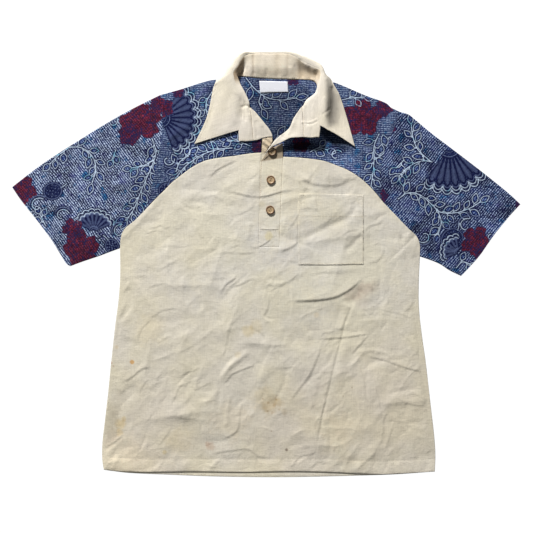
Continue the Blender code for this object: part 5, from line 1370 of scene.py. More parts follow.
def cotton(name, colour, crinkle, pitch=0.00060):
    s = Shade(name, 0.92)
    cloth = s.attr("cloth")
    place = s.object()
    u, v, _ = s.split(cloth)
    across = s.noise(s.join(s.mul(u, 1 / 0.020), s.mul(v, 1 / 0.0013)), 1.0, 2.0, 0.6)
    along = s.noise(s.join(s.mul(u, 1 / 0.0019), s.mul(v, 1 / 0.020), 5.0), 1.0, 2.0, 0.6)
    cloud = s.noise(place, 9.0, 3.0, 0.55)
    patch = s.noise(place, 38.0, 3.0, 0.6)
    base = s.mix(s.span(cloud, 0.35, 0.65), tuple(c * k for c, k in zip(colour, (0.985, 0.985, 1.03))), tuple(c * k for c, k in zip(colour, (1.01, 1.0, 0.955))))
    level = s.add(s.span(across, 0.3, 0.7, -0.07, 0.07, "LINEAR"), s.span(along, 0.3, 0.7, -0.055, 0.055, "LINEAR"))
    level = s.add(level, s.span(patch, 0.3, 0.7, 0.975, 1.02, "LINEAR"))
    base = s.mix(1.0, base, s.join(level, level, level), "MULTIPLY")
    # stains, painted shade and painted light of each piece, from its attribute
    base = s.mix(1.0, base, s.attr("stain_shading"), "MULTIPLY")
    s.put(s.bsdf.inputs["Base Color"], base)
    height = s.add(s.mul(weave(s, u, v, pitch, place), 0.6), s.mul(s.add(across, along), 0.5))
    first = s.bump(height, 0.00012, 0.7)
    fine = s.noise(place, 330.0, 3.0, 0.62)
    second = s.bump(fine, 0.0013, crinkle, first)
    s.links.new(s.bump(s.noise(place, 130.0, 2.0, 0.5), 0.0020, crinkle * 0.5, second), s.bsdf.inputs["Normal"])
    s.bsdf.inputs["Sheen Weight"].default_value = 0.06
    s.bsdf.inputs["Sheen Roughness"].default_value = 0.6
    s.bsdf.inputs["Specular IOR Level"].default_value = 0.18
    return s.mat


def printed(name, pitch, cross, contrast, bright, pale_line, tick_weight=0.6, low=0.10, navies=("#070d38", "#14265e")):
    s = Shade(name, 0.9)
    cloth = s.attr("cloth")
    place = s.object()
    u, v, _ = s.split(cloth)
    sway = s.noise(place, 34.0, 2.0, 0.5)
    jitter = s.noise(place, 190.0, 2.0, 0.6)
    vv = s.add(s.add(v, s.span(sway, 0.3, 0.7, -0.0011, 0.0011, "LINEAR")), s.span(jitter, 0.3, 0.7, -0.0005, 0.0005, "LINEAR"))
    lines = s.wave(vv, pitch)
    shift = s.noise(s.join(s.mul(u, 1 / 0.012), s.math("FLOOR", s.mul(vv, 1 / pitch)), 3.0), 1.0, 1.0, 0.5)
    ticks = s.wave(s.add(u, s.span(shift, 0.3, 0.7, -0.0022, 0.0022, "LINEAR")), cross)
    broken = s.span(s.noise(s.join(s.mul(u, 1 / 0.0038), s.mul(vv, 1 / 0.0022)), 1.0, 2.0, 0.6), 0.42, 0.58)
    speck = s.span(s.noise(place, 420.0, 2.0, 0.6), 0.38, 0.66)
    density = s.span(s.noise(place, 26.0, 3.0, 0.6), 0.34, 0.66)
    value = s.mul(s.span(lines, 0.22, 0.82), s.add(s.mul(broken, 0.68), 0.32))
    value = s.mul(value, s.add(s.mul(s.span(ticks, 0.08, 0.55), tick_weight), 1 - tick_weight))
    value = s.add(s.mul(value, s.add(s.mul(density, 0.46), 0.54)), s.mul(speck, 0.18))
    value = s.span(s.mul(value, contrast), low, 0.86)
    navy, pale = linear(navies[0]), linear(bright)
    teal, mauve = linear("#3d84b4"), linear("#8890bd")
    hue = s.noise(place, 60.0, 2.0, 0.6)
    lit = s.mix(s.span(hue, 0.56, 0.70), pale, teal)
    lit = s.mix(s.span(hue, 0.44, 0.32), lit, mauve)
    deep = s.mix(density, navy, linear(navies[1]))
    ground = s.mix(s.math("MINIMUM", value, 1.0), deep, lit)
    to = s.attr("line")
    lx, ly, ld = s.split(to)
    red, dark, leaf = s.split(s.attr("motif"))
    tone = s.attr("tone", "Fac")
    span = s.math("SQRT", s.add(s.mul(lx, lx), s.mul(ly, ly)))
    d = s.math("MAXIMUM", span, s.math("SUBTRACT", ld, 0.6))
    wobble = s.span(s.noise(place, 300.0, 2.0, 0.6), 0.3, 0.7, -0.30, 0.30, "LINEAR")
    d = s.add(d, wobble)
    is_pale = s.span(tone, -0.05, 0.10)
    core = s.span(d, 1.0, 0.35)
    halo = s.mul(s.span(d, 4.0, 1.5), is_pale)
    ground = s.mix(s.mul(s.span(leaf, -3.5, -1.1), 0.94), ground, linear("#0a113e"))
    ground = s.mix(s.mul(s.span(s.add(leaf, wobble), 2.3, 2.9), 0.75), ground, s.mix(value, linear("#1d3372"), linear("#9ab4de")))
    soft = s.noise(place, 150.0, 2.0, 0.6)
    ink = s.mix(s.span(soft, 0.35, 0.65), linear("#0f1742"), linear("#222f62"))
    ink = s.mix(s.mul(value, 0.30), ink, linear("#6d88c0"))
    ground = s.mix(s.mul(s.span(dark, -1.0, 1.0), 0.86), ground, ink)
    wine = s.mix(s.span(s.noise(place, 330.0, 3.0, 0.7), 0.42, 0.60), linear("#80263d"), linear("#3e1228"))
    wine = s.mix(s.span(s.noise(place, 120.0, 2.0, 0.6), 0.55, 0.70), wine, linear("#8c2e45"))
    wine = s.mix(s.span(s.noise(place, 62.0, 2.0, 0.6), 0.50, 0.62, 0.0, 0.55), wine, linear("#34102a"))
    wine = s.mix(s.span(s.math("MINIMUM", lines, ticks), 0.42, 0.10, 0.0, 0.66), wine, linear("#260d24"))
    ground = s.mix(s.mul(halo, 0.93), ground, linear("#090f3a"))
    ground = s.mix(s.mul(s.span(red, -0.8, 0.6), 0.97), ground, wine)
    strength = s.math("ABSOLUTE", tone)
    line_colour = s.mix(s.span(hue, 0.54, 0.68), linear(pale_line), linear("#86bcd8"))
    line_colour = s.mix(s.span(strength, 0.85, 0.45), line_colour, linear("#8698c6"))
    stroke = s.mix(is_pale, linear("#232550"), line_colour)
    ring = s.span(s.math("ABSOLUTE", s.add(leaf, wobble)), 0.95, 0.25)
    mark = s.math("MAXIMUM", s.mul(core, strength), s.mul(ring, 0.85))
    mark = s.mul(mark, s.span(s.noise(place, 240.0, 2.0, 0.6), 0.25, 0.55, 0.62, 0.95))
    mark = s.mul(mark, s.math("SUBTRACT", 1.0, s.mul(s.mul(is_pale, s.span(red, -0.8, 0.6)), 0.72)))
    ring_only = s.mix(s.span(s.math("SUBTRACT", s.mul(ring, 0.85), s.mul(core, strength)), 0.0, 0.2), stroke, line_colour)
    base = s.mix(mark, ground, ring_only)
    thread = s.noise(s.join(s.mul(u, 1 / 0.004), s.mul(v, 1 / 0.0011)), 1.0, 2.0, 0.6)
    level = s.span(thread, 0.3, 0.7, 0.86, 1.12, "LINEAR")
    # painted shade and lighter patches from the piece's shades
    level = s.mul(level, s.attr("shade", "Fac"))
    base = s.mix(1.0, base, s.join(level, level, level), "MULTIPLY")
    s.put(s.bsdf.inputs["Base Color"], base)
    height = s.add(s.mul(weave(s, u, v, 0.0006, place), 0.6), thread)
    s.links.new(s.bump(height, 0.00012, 0.7), s.bsdf.inputs["Normal"])
    s.bsdf.inputs["Sheen Weight"].default_value = 0.02
    s.bsdf.inputs["Sheen Roughness"].default_value = 0.6
    s.bsdf.inputs["Specular IOR Level"].default_value = 0.08
    return s.mat


def plain(name, colour, roughness, size=0.002, amount=0.08, bump=0.0002, specular=0.3):
    """Thread, label or shell: one colour broken up by a fine noise."""
    s = Shade(name, roughness)
    place = s.object()
    f = s.noise(place, 1 / size, 3.0, 0.6)
    level = s.span(f, 0.3, 0.7, 1 - amount, 1 + amount, "LINEAR")
    s.put(s.bsdf.inputs["Base Color"], s.mix(1.0, colour, s.join(level, level, level), "MULTIPLY"))
    s.links.new(s.bump(f, bump, 0.5), s.bsdf.inputs["Normal"])
    s.bsdf.inputs["Specular IOR Level"].default_value = specular
    return s.mat


def shell_material():
    """Turned coconut shell: brown rim, paler face with fine fibres; a painted shadow factor darkens the whole button.
    """
    s = Shade("button_shell", 0.42)
    place = s.object()
    x, y, z = s.split(place)
    fibre = s.noise(s.join(s.mul(x, 1 / 0.0006), s.mul(y, 1 / 0.004)), 1.0, 3.0, 0.6)
    fleck = s.noise(place, 900.0, 2.0, 0.6)
    face, painted_shadow = s.attr("face", "Fac"), s.attr("painted_shadow", "Fac")
    tan = s.mix(s.span(fibre, 0.35, 0.65), linear("#a98a66"), linear("#d2bc97"))
    brown = s.mix(s.span(fleck, 0.4, 0.65), linear("#6a4a33"), linear("#8f6c4e"))
    s.put(s.bsdf.inputs["Base Color"], s.mix(1.0, s.mix(face, brown, tan), s.join(painted_shadow, painted_shadow, painted_shadow), "MULTIPLY"))
    s.links.new(s.bump(s.add(fibre, fleck), 0.00015, 0.5), s.bsdf.inputs["Normal"])
    s.bsdf.inputs["Specular IOR Level"].default_value = 0.4
    return s.mat


NATURAL = linear("#e6dcc6")
BODY_CLOTH = cotton("natural_body", tuple(c * k for c, k in zip(NATURAL, (0.99, 1.02, 1.05))), 0.38)
COLLAR_COTTON = cotton("natural_collar", tuple(c * k for c, k in zip(NATURAL, (1.06, 1.085, 1.15))), 0.14)
SLEEVE_PRINT = printed("printed_sleeve", 0.0039, 0.0036, 1.30, "#c6d8f4", "#c9dcf2", 0.66)
SLEEVE_L_PRINT = printed("printed_sleeve_left", 0.0039, 0.0036, 1.01, "#b0c4e6", "#c9dcf2", 0.66)
YOKE_PRINT = printed("printed_yoke", 0.0033, 0.0046, 0.93, "#9aacca", "#c4d8f0", 0.5, 0.02, ("#101b44", "#223664"))
THREAD = plain("thread_natural", linear("#ded3bc"), 0.8, 0.0006, 0.12)
THREAD_BROWN = plain("thread_brown", linear("#a5785f"), 0.8, 0.0006, 0.12)
THREAD_NAVY = plain("thread_navy", linear("#222b4e"), 0.8, 0.0006, 0.12)
LABEL_CLOTH_LOOK = plain("label_white", linear("#e9ebf2"), 0.6, 0.0011, 0.035, 0.00015)
SHELL = shell_material()


# ------------------------------------------------------------------ threads
def stitch_mesh(name, rows, mat, length=0.0026, gap=0.0012, radius=0.00026):
    """Rows of stitches, joined: each a short thread that dips into the cloth at both ends."""
    ring = np.array([(math.cos(a), math.sin(a)) for a in np.arange(5) * 2 * math.pi / 5])
    template, tris = [], []
    for x, r in ((-0.5, 0.35), (0.0, 1.0), (0.5, 0.35)):
        template += [(x, r * c, r * s - (0.7 if r < 1 else 0.0)) for c, s in ring]
    for k in range(2):
        for j in range(5):
            n = (j + 1) % 5
            a, b, c, d = k * 5 + j, k * 5 + n, (k + 1) * 5 + n, (k + 1) * 5 + j
            tris += [(a, d, c), (a, c, b)]
    tris += [(0, 2, 1), (0, 3, 2), (0, 4, 3)][::1] + [(10, 11, 12), (10, 12, 13), (10, 13, 14)]
    template, tris = np.array(template), np.array(tris)
    verts, faces, count = [], [], 0
    for line in rows:
        steps = np.linalg.norm(np.diff(line, axis=0), axis=1)
        s = np.concatenate([[0], np.cumsum(steps)])
        n = int(s[-1] / (length + gap))
        if n < 1:
            continue
        pitch = s[-1] / n
        for k in range(n):
            a, b = k * pitch + gap / 2, (k + 1) * pitch - gap / 2
            p, q = (np.array([np.interp(t, s, line[:, c]) for c in range(3)]) for t in (a, b))
            x = q - p
            x /= max(np.linalg.norm(x), 1e-9)
            y = np.cross((0, 0, 1.0), x)
            y /= max(np.linalg.norm(y), 1e-9)
            z = np.cross(x, y)
            local = template * (np.linalg.norm(q - p), radius, radius)
            verts.append((p + q) / 2 + local[:, :1] * x + local[:, 1:2] * y + local[:, 2:] * z)
            faces.append(tris + count)
            count += len(template)
    obj = make(name, np.vstack(verts), np.vstack(faces), mat)
    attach(obj, "root")
    return obj


def over(rows, low, thick, step=0.0012):
    """A line on top of a panel."""
    pts = curve(rows, step) if not isinstance(rows, np.ndarray) else rows
    return np.column_stack([pts, low(pts) + thick + 0.00008])


def mark_line(edges, step):
    return np.vstack([curve(e, step)[:-1] for e in edges])


def finish_piece(obj, node):
    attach(obj, "root")
    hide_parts(node)


# ------------------------------------------------------------------ back
def near_neck(points):
    x, y = points[:, 0] / U + MIDDLE[0], MIDDLE[1] - points[:, 1] / U
    return (x > 230) & (x < 324) & (y > 72) & (y < 146)


label_mark = ccw(mark_line(LABEL, 0.004))
back_print, print_r, print_l = print_yoke_back(), print_yoke_right(), print_yoke_left()
back_yoke, back_skin = cloth_panel(
    "cloth_back_yoke", [NECK_BACK, SHOULDER_L_UNDER_COLLAR, SHOULDER_L, ARMHOLE_L_HIGH, back(YOKE_SEAM_BACK), back(ARMHOLE_R_HIGH), SHOULDER_R,
                        SHOULDER_R_UNDER_COLLAR], 0.005, back_low, YOKE_PRINT, marks=[label_mark], under_step=0.0024,
    fine=(near_neck, PRINT_STEP), paint=back_print.paint)
neck_label = laid_on("cloth_neck_label", label_mark, back_skin, GAP, LABEL_CLOTH, LABEL_CLOTH_LOOK)
# The back's cloth has its colour multiplied by 1.15 all over.
back_body, _ = cloth_panel("cloth_back_body", [YOKE_SEAM_BACK, ARMHOLE_L_LOW, SIDE_L, back(HEM_BACK), back(SIDE_R), back(ARMHOLE_R_LOW)], 0.0055,
                           back_low, BODY_CLOTH, under_step=0.0055, paint=lambda plan: {"stain_shading": ("FLOAT_VECTOR", np.full((len(plan), 3), 1.15))})

# ------------------------------------------------------------------ front
pocket_mark = ccw(mark_line(POCKET, 0.003))
SLIT = [[(261.3, 152.6), (262.9, 152.8)], [(262.9, 152.8), (261.8, 162), (261.0, 205), (260.1, 245.4)], [(260.1, 245.4), (277.4, 245.4)],
        [(277.4, 245.4), (279.1, 205), (280.9, 164), (281.4, 157.0)], [(281.4, 157.0), (283.4, 156.9)]]


def slit_low(points):
    """The front layer, a step lower where it runs in under the placket strips."""
    x, y = points[:, 0] / U + MIDDLE[0], MIDDLE[1] - points[:, 1] / U
    left = np.interp(y, [152.6, 162, 205, 247.6], [261.3, 260.3, 259.4, 258.5])
    right = np.interp(y, [156.9, 164, 205, 247.6], [283.4, 282.9, 281.0, 279.5])
    inside_by = np.minimum(np.minimum(x - left, right - x), 247.2 - y)
    down = ease((inside_by - 0.15) / 0.9)
    z = front_low(points)
    return z * (1 - down) + np.minimum(z, CLOTH + GAP + 0.00015) * down


front_body, front_skin = cloth_panel(
    "cloth_front_body", [YOKE_SEAM_R, *SLIT, YOKE_SEAM_L, ARMHOLE_L_LOW, SIDE_L, back(HEM_FRONT), back(SIDE_R), back(ARMHOLE_R_LOW)],
    BODY_STEP, slit_low, BODY_CLOTH, marks=[pocket_mark], extra=stain_points(), paint=stains_and_shading)
pocket = laid_on("cloth_chest_pocket", pocket_mark, front_skin, 0.00012, POCKET_CLOTH, BODY_CLOTH, paint=stains_and_shading)
yoke_right, _ = cloth_panel("cloth_front_yoke_right", [SHOULDER_R, SHOULDER_R_UNDER_COLLAR, NECK_FRONT_R, FRONT_EDGE_R, back(YOKE_SEAM_R),
                                                       back(ARMHOLE_R_HIGH)], PRINT_STEP, yoke_r_low, YOKE_PRINT, paint=print_r.paint)
yoke_left, _ = cloth_panel("cloth_front_yoke_left", [SHOULDER_L, ARMHOLE_L_HIGH, back(YOKE_SEAM_L), back(FRONT_EDGE_L), back(NECK_FRONT_L),
                                                     SHOULDER_L_UNDER_COLLAR], PRINT_STEP, yoke_l_low, YOKE_PRINT, paint=print_l.paint)

# ------------------------------------------------------------------ sleeves: the weave runs with the cuff
sleeve_right = flat_sleeve("cloth_sleeve_right", SLEEVE_R, (ARMHOLE_R_HIGH, ARMHOLE_R_LOW), SLEEVE_PRINT, math.radians(-53.5), print_sleeve_right().paint)
sleeve_left = flat_sleeve("cloth_sleeve_left", SLEEVE_L, (ARMHOLE_L_HIGH, ARMHOLE_L_LOW), SLEEVE_L_PRINT, math.radians(50.5), print_sleeve_left().paint)


# ------------------------------------------------------------------ placket strips and turned-back facings
def strip_low(shape, layers, ruffle=None):
    height = thin_plate(shape["heights"])

    def low(points):
        z = height(points)
        if ruffle is not None:
            z = z + ruffle(points)
        return np.maximum(z, layers * (CLOTH + GAP))

    return low


def placket_creases(points):
    y = MIDDLE[1] - points[:, 1] / U
    return (1.35 * creases(points) + 1.2 * crumple(points)) * ease((y - 160) / 14)


FOOT_PLEATS = [(1.3, 1.9, [(262.6, 140.4), (266, 144), (270.6, 147.6)]), (-1.1, 1.3, [(262.4, 143.6), (265, 147), (268.4, 150)]),
               (0.9, 1.7, [(262.4, 147), (264, 150.4), (266, 153)]), (-0.9, 1.2, [(264.6, 139), (268.6, 142.6), (271.6, 145.6)]),
               (0.8, 1.5, [(267.6, 138.2), (270.4, 141), (272.4, 143.4)])]
LAPEL_L_ROLLS = [(0.9, 2.2, [(300.6, 122.6), (304, 123), (308, 123)]), (-0.8, 3.0, [(288, 128), (285.6, 133), (282, 139)]),
                 (0.7, 3.0, [(294, 121), (291, 129), (288, 136)]), (-0.5, 3.5, [(299, 112), (297, 124), (295.6, 136)]),
                 (0.5, 3.0, [(280, 137), (275, 142), (269, 147)]), (-0.5, 2.2, [(297.6, 111), (292, 120), (288, 127)])]
LAPEL_R_ROLLS = [(0.5, 3.0, [(256, 115), (262, 124), (268, 134)]), (-0.5, 2.6, [(255.6, 120), (257, 130), (258, 139)]),
                 (-0.4, 2.4, [(262, 126), (264, 132), (265, 138)])]


def rolls(points, table):
    z = np.zeros(len(points))
    for height, half, rows in table:
        near, s, t = along_line(points, curve(rows, 0.002), half * 2.4 * MM)
        z[near] += height * MM * ease(t / 0.18) * ease((1 - t) / 0.18) * np.exp(-(s / (half * MM)) ** 2)
    return z


def small_crumple(points):
    return MM * (0.16 * noise(points, 0.016, 71) + 0.09 * noise(points, 0.008, 72) + 0.04 * noise(points, 0.0045, 73))


over_low = strip_low(PLACKET_OVER, 2, placket_creases)
under_low = strip_low(PLACKET_UNDER, 1, lambda p: placket_creases(p) + rolls(p, FOOT_PLEATS))
def tuck(points, rows, side, depth):
    """How far a layer goes down where it runs in under its neighbour, past the line of the rows (x, y); side 1 is to the right."""
    x, y = points[:, 0] / U + MIDDLE[0], MIDDLE[1] - points[:, 1] / U
    edge = np.interp(y, [r[1] for r in rows], [r[0] for r in rows])
    return -depth * MM * ease((side * (x - edge) + 0.3) / 1.0)


def under_placket_shade_tint(plan):
    """As on the body, with painted shade, warmer and darker, between the facings' feet."""
    y = MIDDLE[1] - plan[:, 1] / U
    f = ease((156 - y) / 5)[:, None]
    return {"stain_shading": ("FLOAT_VECTOR", stains_and_shading(plan)["stain_shading"][1] * (1 - f * (1 - np.array((0.86, 0.77, 0.68)))))}


def placket_shadow_tint(plan):
    """As on the body, with a painted shadow at the top where the rolled edge of the facing stands over it."""
    x, y = plan[:, 0] / U + MIDDLE[0], MIDDLE[1] - plan[:, 1] / U
    f = ease((np.interp(x, [262, 270, 283], [161.2, 160.2, 158.0]) - y) / 1.4 + 0.5)[:, None]
    return {"stain_shading": ("FLOAT_VECTOR", stains_and_shading(plan)["stain_shading"][1] * (1 - f * (1 - np.array((0.50, 0.44, 0.39)))))}


BAND_EDGE_R = [(251.0, 108.6), (252.0, 118), (253.0, 130), (253.8, 140.8)]
BAND_EDGE_L = [(301.4, 107.8), (302.2, 112), (302.8, 124), (303.2, 137.6)]
facing_r = [[(248.6, 106.4), (251.2, 108.6)] + LAPEL_R["outline"][0][1:], LAPEL_R["outline"][1], [(253.9, 140.8), (251.3, 140.4)],
            [(251.3, 140.4), (250.6, 130), (249.6, 118), (248.6, 106.4)]]
facing_l = [LAPEL_L["outline"][0][:-1] + [(301.2, 107.8), (304.0, 105.0)], [(304.0, 105.0), (304.6, 112), (305.0, 124), (305.4, 137.0)],
            [(305.4, 137.0), (302.9, 137.6)], LAPEL_L["outline"][2]]
lapel_r_low = strip_low(LAPEL_R, 2, lambda p: rolls(p, LAPEL_R_ROLLS) + small_crumple(p) + tuck(p, BAND_EDGE_R, -1, 1.9))
lapel_l_low = strip_low(LAPEL_L, 2, lambda p: rolls(p, LAPEL_L_ROLLS) + small_crumple(p) + tuck(p, BAND_EDGE_L, 1, 2.0))
strips = {}
for node, edges, low in (("placket_under", PLACKET_UNDER["outline"], under_low), ("placket_over", PLACKET_OVER["outline"], over_low),
                         ("facing_right", facing_r, lapel_r_low), ("facing_left", facing_l, lapel_l_low)):
    strips[node], _ = cloth_panel("cloth_" + node, edges, FINE_STEP, low, BODY_CLOTH if "placket" in node else COLLAR_COTTON,
                                  edge_step=0.0012, under_step=0.0025, paint=placket_shadow_tint if node == "placket_over" else under_placket_shade_tint if node == "placket_under" else stains_and_shading)

# ------------------------------------------------------------------ collar
LEAF_ROLLS = [
    (-1.0, 4.6, [(330.6, 84), (333, 94), (333, 104), (332.6, 113), (333, 123)]), (0.6, 4.5, [(339, 90), (342, 103), (345, 117)]),
    (0.5, 4.0, [(324, 96), (324.6, 108), (326, 118)]), (-0.6, 2.2, [(321, 116), (326, 112.6), (330, 108)]),
    (-0.5, 2.4, [(336, 108), (339.6, 114), (340, 121)]), (-0.6, 3.0, [(240.6, 97), (241, 108), (241.6, 121)]),
    (0.45, 7.0, [(224, 92), (216, 112), (208, 134)]), (-0.4, 6.0, [(232, 88), (227, 108), (224, 130)]), (0.4, 5.0, [(236, 96), (236, 110), (234, 126)]),
    (-0.35, 4.0, [(214, 106), (210, 120), (204, 134)]), (0.35, 3.0, [(345, 128), (349, 134), (353, 141)]), (-0.4, 2.6, [(326, 126), (334, 130), (341, 134)]),
    (-0.5, 2.6, [(229, 60), (234, 56), (240, 55)]), (0.5, 2.6, [(324, 78), (329, 82), (333, 88)]),
]
STAND_ROLLS = [
    (-0.9, 3.0, [(252.6, 54), (253.4, 66), (254.4, 77)]), (0.5, 4.0, [(264, 54), (264, 66), (264, 78)]), (-0.7, 3.0, [(277, 54), (277.6, 66), (278.6, 78)]),
    (0.5, 3.0, [(284, 55), (284.4, 66), (284.6, 78)]), (1.0, 2.8, [(289.6, 66), (291, 72), (293, 80)]), (-0.6, 2.0, [(294, 64), (296, 72), (297, 80)]),
    (-0.9, 3.2, [(299, 58), (301, 68), (303, 80)]), (0.6, 2.4, [(305.4, 62), (307, 72), (308, 80)]), (-0.6, 2.0, [(309.4, 66), (311, 74), (311.6, 80)]),
    (0.4, 2.0, [(313, 68), (314, 75), (314.4, 82)]), (-0.5, 1.8, [(266.6, 68), (267, 74), (267, 79)]), (-0.4, 1.6, [(247.6, 66), (248, 72), (248.4, 77)]),
    (-1.0, 2.8, [(244.6, 100), (244.8, 110), (246, 123)]), (-1.1, 2.6, [(240.6, 108.4), (246, 106), (251.4, 109)]),
    (0.6, 3.0, [(249, 112), (249.4, 124), (249.6, 138)]), (0.5, 1.3, [(303, 122.8), (311, 122.6), (318, 118.6)]), (-0.5, 1.0, [(305, 124.6), (312, 124.6), (318.6, 121)]),
    (-0.7, 3.2, [(306, 106), (306.4, 116), (307, 128)]), (0.5, 3.0, [(313, 104), (313, 112), (313.4, 120)]), (-0.5, 2.4, [(311, 128), (311.4, 134), (312, 138)]),
]


def collar_raise(leaf):
    def f(grid, uu, sv):
        flat = grid[:, :, :2].reshape(-1, 2)
        front = np.ones(len(flat))
        z = rolls(flat, LEAF_ROLLS + STAND_ROLLS) + small_crumple(flat)
        z = z.reshape(grid.shape[:2])
        total = sv[:, -1:]
        puckers = noise(np.stack([uu.ravel(), 0.3 * sv.ravel()], 1), 0.0052, 81).reshape(z.shape)
        if leaf:
            behind = np.clip(sv / np.maximum(total, 1e-9), 0, 1)
            rows = np.linspace(0, 1, len(grid))[:, None]
            hidden = ease((rows - 0.30) / 0.05) * ease((0.78 - rows) / 0.05) * ease((behind - 0.3) / 0.1)
            z = z * (1 - hidden)
            edge = total - sv
            z = z - 0.5 * MM * ease((0.0018 - sv) / 0.0018) * (1 - hidden)
            z = z + MM * (-0.16 * np.exp(-((edge - 0.005) / 0.0011) ** 2) + 0.26 * puckers * np.exp(-(edge / 0.006) ** 2)) * (1 - hidden)
        else:
            z = z + MM * 0.22 * puckers * np.exp(-(sv / 0.007) ** 2) - 0.5 * MM * ease((sv - total + 0.0018) / 0.0018)
        return z
    return f


sections = [row[1:] for row in COLLAR]


def stand_inside_shading(plan):
    """The inside of the stand at the back: painted light over most of it, and painted shade darker near its top, in the
    shadowed triangle by the left fold, at its right end and along the gathers, with a faint darker band across it.
    """
    x, y = plan[:, 0] / U + MIDDLE[0], MIDDLE[1] - plan[:, 1] / U
    tint = np.ones((len(plan), 3))
    fold = np.interp(y, [52, 78], [244.8, 243.2]) - x
    for f, colour in ((ease((88 - y) / 8), (1.24, 1.215, 1.18)), (ease((67 - y) / 11) * ease((88 - y) / 8), (0.84, 0.83, 0.82)),
                      (ease(fold / 1.0 + 0.5) * ease((y - 53) / 3) * ease((86 - y) / 8), (0.42, 0.36, 0.30)),
                      (ease((x - 294) / 6) * ease((86 - y) / 8) * ease((y - np.interp(x, [288, 299, 304, 310, 320], [55, 59.6, 64, 67.5, 69.6])) / 2), (0.72, 0.67, 0.60)),
                      (np.exp(-((x - 253) / 1.2) ** 2) * ease((80 - y) / 6), (0.80, 0.77, 0.74)),
                      (np.exp(-((x - 277) / 3.2) ** 2) * ease((80 - y) / 6), (0.92, 0.90, 0.88)),
                      (np.exp(-((x - 287.4) / 1.2) ** 2) * ease((80 - y) / 6), (0.88, 0.86, 0.84)),
                      (np.exp(-((y - 73.5) / 3.5) ** 2), (0.95, 0.93, 0.91))):
        tint = tint * (1 - f[:, None] * (1 - np.array(colour)))
    return {"stain_shading": ("FLOAT_VECTOR", tint)}


def leaf_shade_tint(plan):
    """As on the body, with painted shade: grey in the deep trough of the leaf that stands higher, and a softer grey
    patch beside the band end on the wearer's right.
    """
    x, y = plan[:, 0] / U + MIDDLE[0], MIDDLE[1] - plan[:, 1] / U
    tint = stains_and_shading(plan)["stain_shading"][1]
    g = np.exp(-((x - 244.5) / 5.0) ** 2 - ((y - 108) / 8.0) ** 2) * (x > 239)
    tint = tint * (1 - g[:, None] * (1 - np.array((0.84, 0.83, 0.83))))
    middle = np.interp(y, [80, 88, 95, 105, 113, 122, 130], [329.5, 331.4, 332.8, 332.4, 332.2, 331.6, 330.8])
    wide = np.interp(y, [84, 95, 110, 124], [2.8, 4.6, 5.8, 4.4]) * np.where(x > middle, 1.7, 1.0)
    f = np.exp(-((x - middle) / wide) ** 2) * ease((y - 82) / 14) * ease((130 - y) / 8)
    tint = tint * (1 - f[:, None] * (1 - np.array((0.44, 0.44, 0.46))))
    return {"stain_shading": ("FLOAT_VECTOR", tint)}


full = []
for k, row in enumerate(sections):
    c = [np.array((*place(q[0], q[1]), q[2] * MM)) for q in row if q]
    if not row[3]:
        beside = sections[1 if k == 0 else -2]
        step = [np.array((*place(q[0], q[1]), q[2] * MM)) for q in beside]
        c += [c[2] + (q - step[2]) for q in step[3:]]
    full.append(c)
full = np.array(full)
stand, stand_grid, stand_normal, stand_u, stand_v = swept_sheet("cloth_collar_stand", swept_grid(full, 13, 12, 0, 2 + 1 / 12), COLLAR_CLOTH,
                                                                COLLAR_COTTON, collar_raise(False), stand_inside_shading)
leaf, leaf_grid, leaf_normal, leaf_u, leaf_v = swept_sheet("cloth_collar_leaf", swept_grid(full[1:-1], 13, 15, 2 - 1 / 15, 6), COLLAR_CLOTH,
                                                           COLLAR_COTTON, collar_raise(True), leaf_shade_tint)


